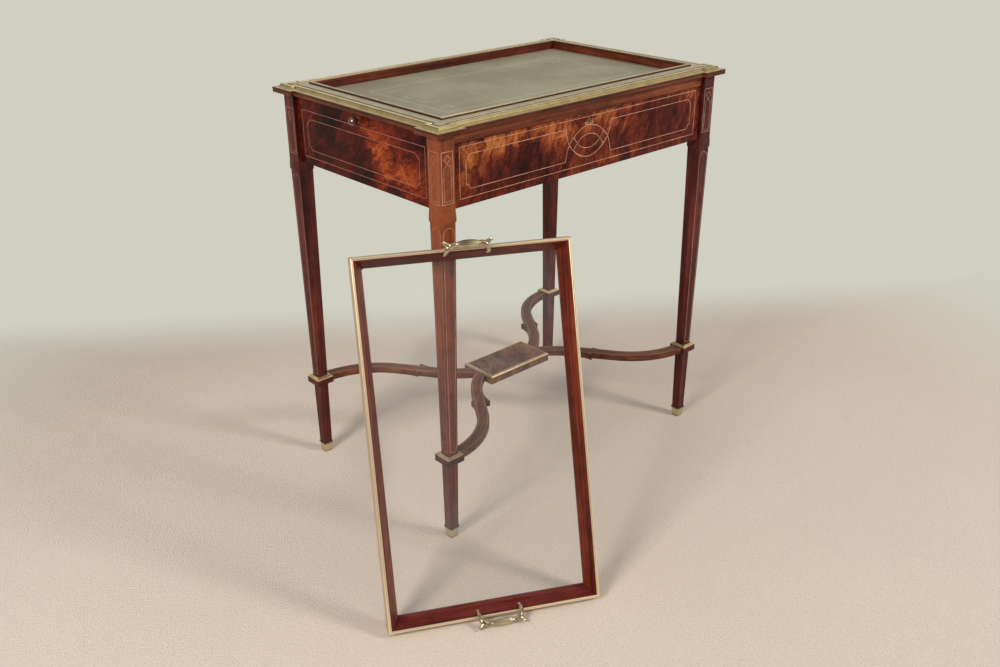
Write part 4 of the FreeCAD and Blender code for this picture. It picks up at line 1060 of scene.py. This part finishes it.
def canted(half, low, high, cut_x, cut_z):
    """Return a rectangle with its corners cut off."""
    return [
        (half - cut_x, low), (half, low + cut_z), (half, high - cut_z), (half - cut_x, high),
        (cut_x - half, high), (-half, high - cut_z), (-half, low + cut_z), (cut_x - half, low),
    ]


panel_end = [
    (54.0, 686.3), (265.6, 686.7), (273.8, 677.5), (273.6, 640.0), (269.8, 639.6), (265.3, 632.0),
    (55.5, 631.5),
]
great_arch = smooth_line(both_ways([
    (-55.5, 631.3), (-52.6, 645.0), (-47.1, 658.6), (-36.2, 670.3), (-20.6, 681.0), (0.0, 685.6),
]))
great_bowl = upended(great_arch, 658.85)
small_arch = smooth_line(both_ways([(-36.0, 647.4), (-28.0, 658.8), (-16.0, 667.6), (0.0, 670.8)]))
small_bowl = upended(small_arch, 658.9)
bow_loop = smooth_line([
    (0.6, 687.4), (5.0, 690.4), (9.4, 690.2), (8.0, 687.6), (4.4, 686.8), (0.6, 687.0),
])
bow_tail = smooth_line([(3.0, 688.4), (6.6, 691.6), (8.8, 696.0)])
front_strings = [
    string(upright_oblong(286.5, 618.7, 700.2)),
    string(panel_end, False),
    string(mirrored(panel_end), False),
    string(great_arch, False, 1.1),
    string(great_bowl, False, 1.1),
    string(small_arch, False),
    string(small_bowl, False),
    string(bow_loop, False, 1.4),
    string(bow_loop * (-1.0, 1.0), False, 1.4),
    string(bow_tail, False),
]
surface = joined(*(on_face(line, *FRONT) for line in front_strings))
put("drawer_stringing", surface, stringing, "drawer")
for name, face, half in (("left", LEFT, 168.5), ("right", RIGHT, 168.5), ("back", BACK, 286.5)):
    lines = (
        string(upright_oblong(half, LINE_LOW, 701.0), width=0.8),
        string(canted(half - 14.5, 633.0, 687.0, 10.5, 8.5), width=0.8),
    )
    surface = joined(*(on_face(line, *face) for line in lines))
    put(name + "_stringing", surface, dull_stringing, "table")

# A leg's face leans out by taper, and is longer than it is high by rise

taper = (NECK_HALF - FOOT_HALF) / NECK_BOTTOM
rise = math.hypot(1.0, taper)


def leg_half_at(height):
    """Return half the leg's thickness at a height."""
    return FOOT_HALF + taper * height


def shaft_outline(low=177.0, spring=570.0, inset=3.2):
    """Return the long panel of a leg's face: round at the foot, an arch at the head."""
    foot, head = leg_half_at(low) - inset, leg_half_at(spring) - inset
    turn = np.linspace(0, math.pi, 17)
    arch = np.stack([head * np.cos(turn), spring + head * np.sin(turn)], -1)
    bowl = np.stack([-foot * np.cos(turn), low + 5.0 - 5.0 * np.sin(turn)], -1)
    return np.concatenate([arch, bowl]) * (1.0, rise)


knot = [
    (-7.0, 623.5), (7.0, 623.5), (7.0, 675.5), (0.0, 682.0), (-6.4, 689.3), (0.0, 695.0),
    (6.4, 689.3), (0.0, 682.0), (-7.0, 675.5),
]
for corner, side_x, side_y in CORNERS:
    for face, finish, normal in (
        ("end", dull_stringing, (side_x, 0.0, 0.0)),
        ("side", stringing, (0.0, side_y, 0.0)),
    ):
        normal = np.array(normal, float)
        along = np.cross(UPWARD, normal)
        up = (UPWARD + normal * taper) / rise
        leg_middle = np.array([side_x * LEG_X, side_y * LEG_Y, 0.0])
        block = leg_middle + normal * LEG_BLOCK / 2
        foot = leg_middle + normal * FOOT_HALF
        lines = (
            on_face(string(upright_oblong(11.2, LINE_LOW, 700.5), width=0.8), block, along),
            on_face(string(knot, width=0.6), block, along),
            on_face(string(shaft_outline(), width=0.7), foot, along, up),
        )
        put("leg_stringing_%s_%s" % (corner, face), joined(*lines), finish, "table")


def arm_line(offset):
    """Return a line beside the middle of the front right arm's mirror image, collar to plate.

    Two arcs of opposite turn, joined by a straight slant.
    """
    first, slant, last = (math.radians(angle) for angle in (3.8, 55.6, 31.5))
    near, far = 154.4, 192.0
    collar_half, plate_end = 18.0, 9.0
    start = np.array([LEG_X - collar_half, LEG_Y])
    turn = np.linspace(first, slant, 16)[:, None]
    centre = start + near * np.array([math.sin(first), -math.cos(first)])
    out = np.concatenate([np.sin(turn), -np.cos(turn)], 1)
    bend = centre - (near - offset) * out
    drop = near * (math.cos(first) - math.cos(slant)) + far * (math.cos(last) - math.cos(slant))
    run = (LEG_Y - drop - plate_end) / math.sin(slant)
    end = centre - near * out[-1] - run * np.array([math.cos(slant), math.sin(slant)])
    back = np.linspace(slant, last, 12)[:, None]
    out = np.concatenate([np.sin(back), -np.cos(back)], 1)
    turned = end - far * out[0] + (far + offset) * out
    return np.concatenate([bend, turned])


for corner, side_x, side_y in CORNERS:
    lines = []
    for offset in (-8.3, 8.3):
        line = string(arm_line(offset) * (side_x, side_y), False, 0.7)
        lines.append(on_face(line, (0.0, 0.0, COLLAR_TOP), ALONG, ACROSS))
    put("arm_stringing_" + corner, joined(*lines), arm_stringing, "table")

# Tooling on the leather

curls = (
    [(-214.0, -76.0), (-203.0, -69.0), (-194.0, -72.0), (-192.0, -80.0), (-197.0, -84.0)],
    [(-195.0, 33.0), (-204.0, 30.0), (-210.0, 20.0), (-208.0, 8.0), (-201.0, 5.0)],
)
lines = [
    string(oblong(226.0, 106.0), width=0.9),
    string(oblong(222.5, 102.5), width=0.5),
]
for sides in ((1.0, 1.0), (1.0, -1.0), (-1.0, 1.0), (-1.0, -1.0)):
    for curl in curls:
        lines.append(string(smooth_line(curl) * sides, False, 1.3))
LINING = ((0.0, 0.0, LEATHER_TOP), ALONG, ACROSS)
surface = joined(*(on_face(line, *LINING) for line in lines))
put("leather_tooling", surface, tooling, "table")

# Finishes of the nodes that keep their solids


def dress(node, finish, soften=0.35):
    """Give a CAD node its finish, and round its sharp edges a little."""
    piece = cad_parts[node]
    piece.data.materials.clear()
    piece.data.materials.append(finish)
    if soften:
        weld = piece.modifiers.new("weld", "WELD")
        weld.merge_threshold = 0.00001
        bevel = piece.modifiers.new("soften", "BEVEL")
        bevel.width = soften * MM
        bevel.segments = 2
        bevel.limit_method = "ANGLE"
        bevel.angle_limit = math.radians(40.0)


oak_along = plain_oak("oak_along", ALONG)
oak_across = plain_oak("oak_across", ACROSS)
for corner, side_x, side_y in CORNERS:
    slant = (1.0, side_x * side_y * 0.8, 0.0)
    arm_wood = mahogany("mahogany_arm_" + corner, slant, ARM_TONE_AND_REFLECTION)
    dress("leg_" + corner, near_leg_wood if corner == "front_left" else leg_wood, 0.6)
    dress("sabot_" + corner, shoe_brass, 0.3)
    dress("collar_block_" + corner, collar_wood, 0.4)
    dress("collar_ring_" + corner, near_ring_reflecting_wood if corner == "front_left" else collar_brass, 0.2)
    dress("stretcher_arm_" + corner, arm_wood, 0.5)
for node, finish, soften in (
    ("stretcher_plate", plate_figure, 0.4),
    ("apron_left", left_flame, 0.25),
    ("apron_right", right_flame, 0.25),
    ("apron_back", back_flame, 0.25),
    ("front_top_rail", wood_along, 0.25),
    ("top_rail_front", shaded_rim_along, 0.5),
    ("top_rail_back", shaded_rim_along, 0.5),
    ("top_rail_left", shaded_rim_across, 0.5),
    ("top_rail_right", shaded_rim_across, 0.5),
    ("flat_band", band_brass, 0.15),
    ("leather_lining", leather, 0.0),
    ("well_panel", oak_along, 0.3),
    ("cross_rail", oak_across, 0.3),
    ("drawer_runners", oak_across, 0.3),
    ("drawer_kickers", oak_across, 0.3),
    ("drawer_stops", oak_along, 0.3),
    ("slide_bearers", oak_along, 0.3),
    ("drawer_front", front_flame, 0.25),
    ("drawer_side_left", oak_across, 0.3),
    ("drawer_side_right", oak_across, 0.3),
    ("drawer_back", oak_along, 0.3),
    ("drawer_bottom", oak_along, 0.2),
    ("lock_case", lock_brass, 0.2),
    ("lock_bolt", steel, 0.2),
    ("escutcheon", key_brass, 0.15),
    ("slide_board", oak_along, 0.3),
    ("slide_front", left_flame, 0.25),
    ("tray_rail_bottom", wood_tray_low_shaded, 0.6),
    ("tray_rail_top", wood_tray_side, 0.6),
    ("tray_rail_left", wood_tray_left_lit, 0.6),
    ("tray_rail_right", wood_tray_up, 0.6),
    ("glazing_slips", wood_tray_side, 0.2),
    ("tray_glass", glass, 0.0),
):
    dress(node, finish, soften)
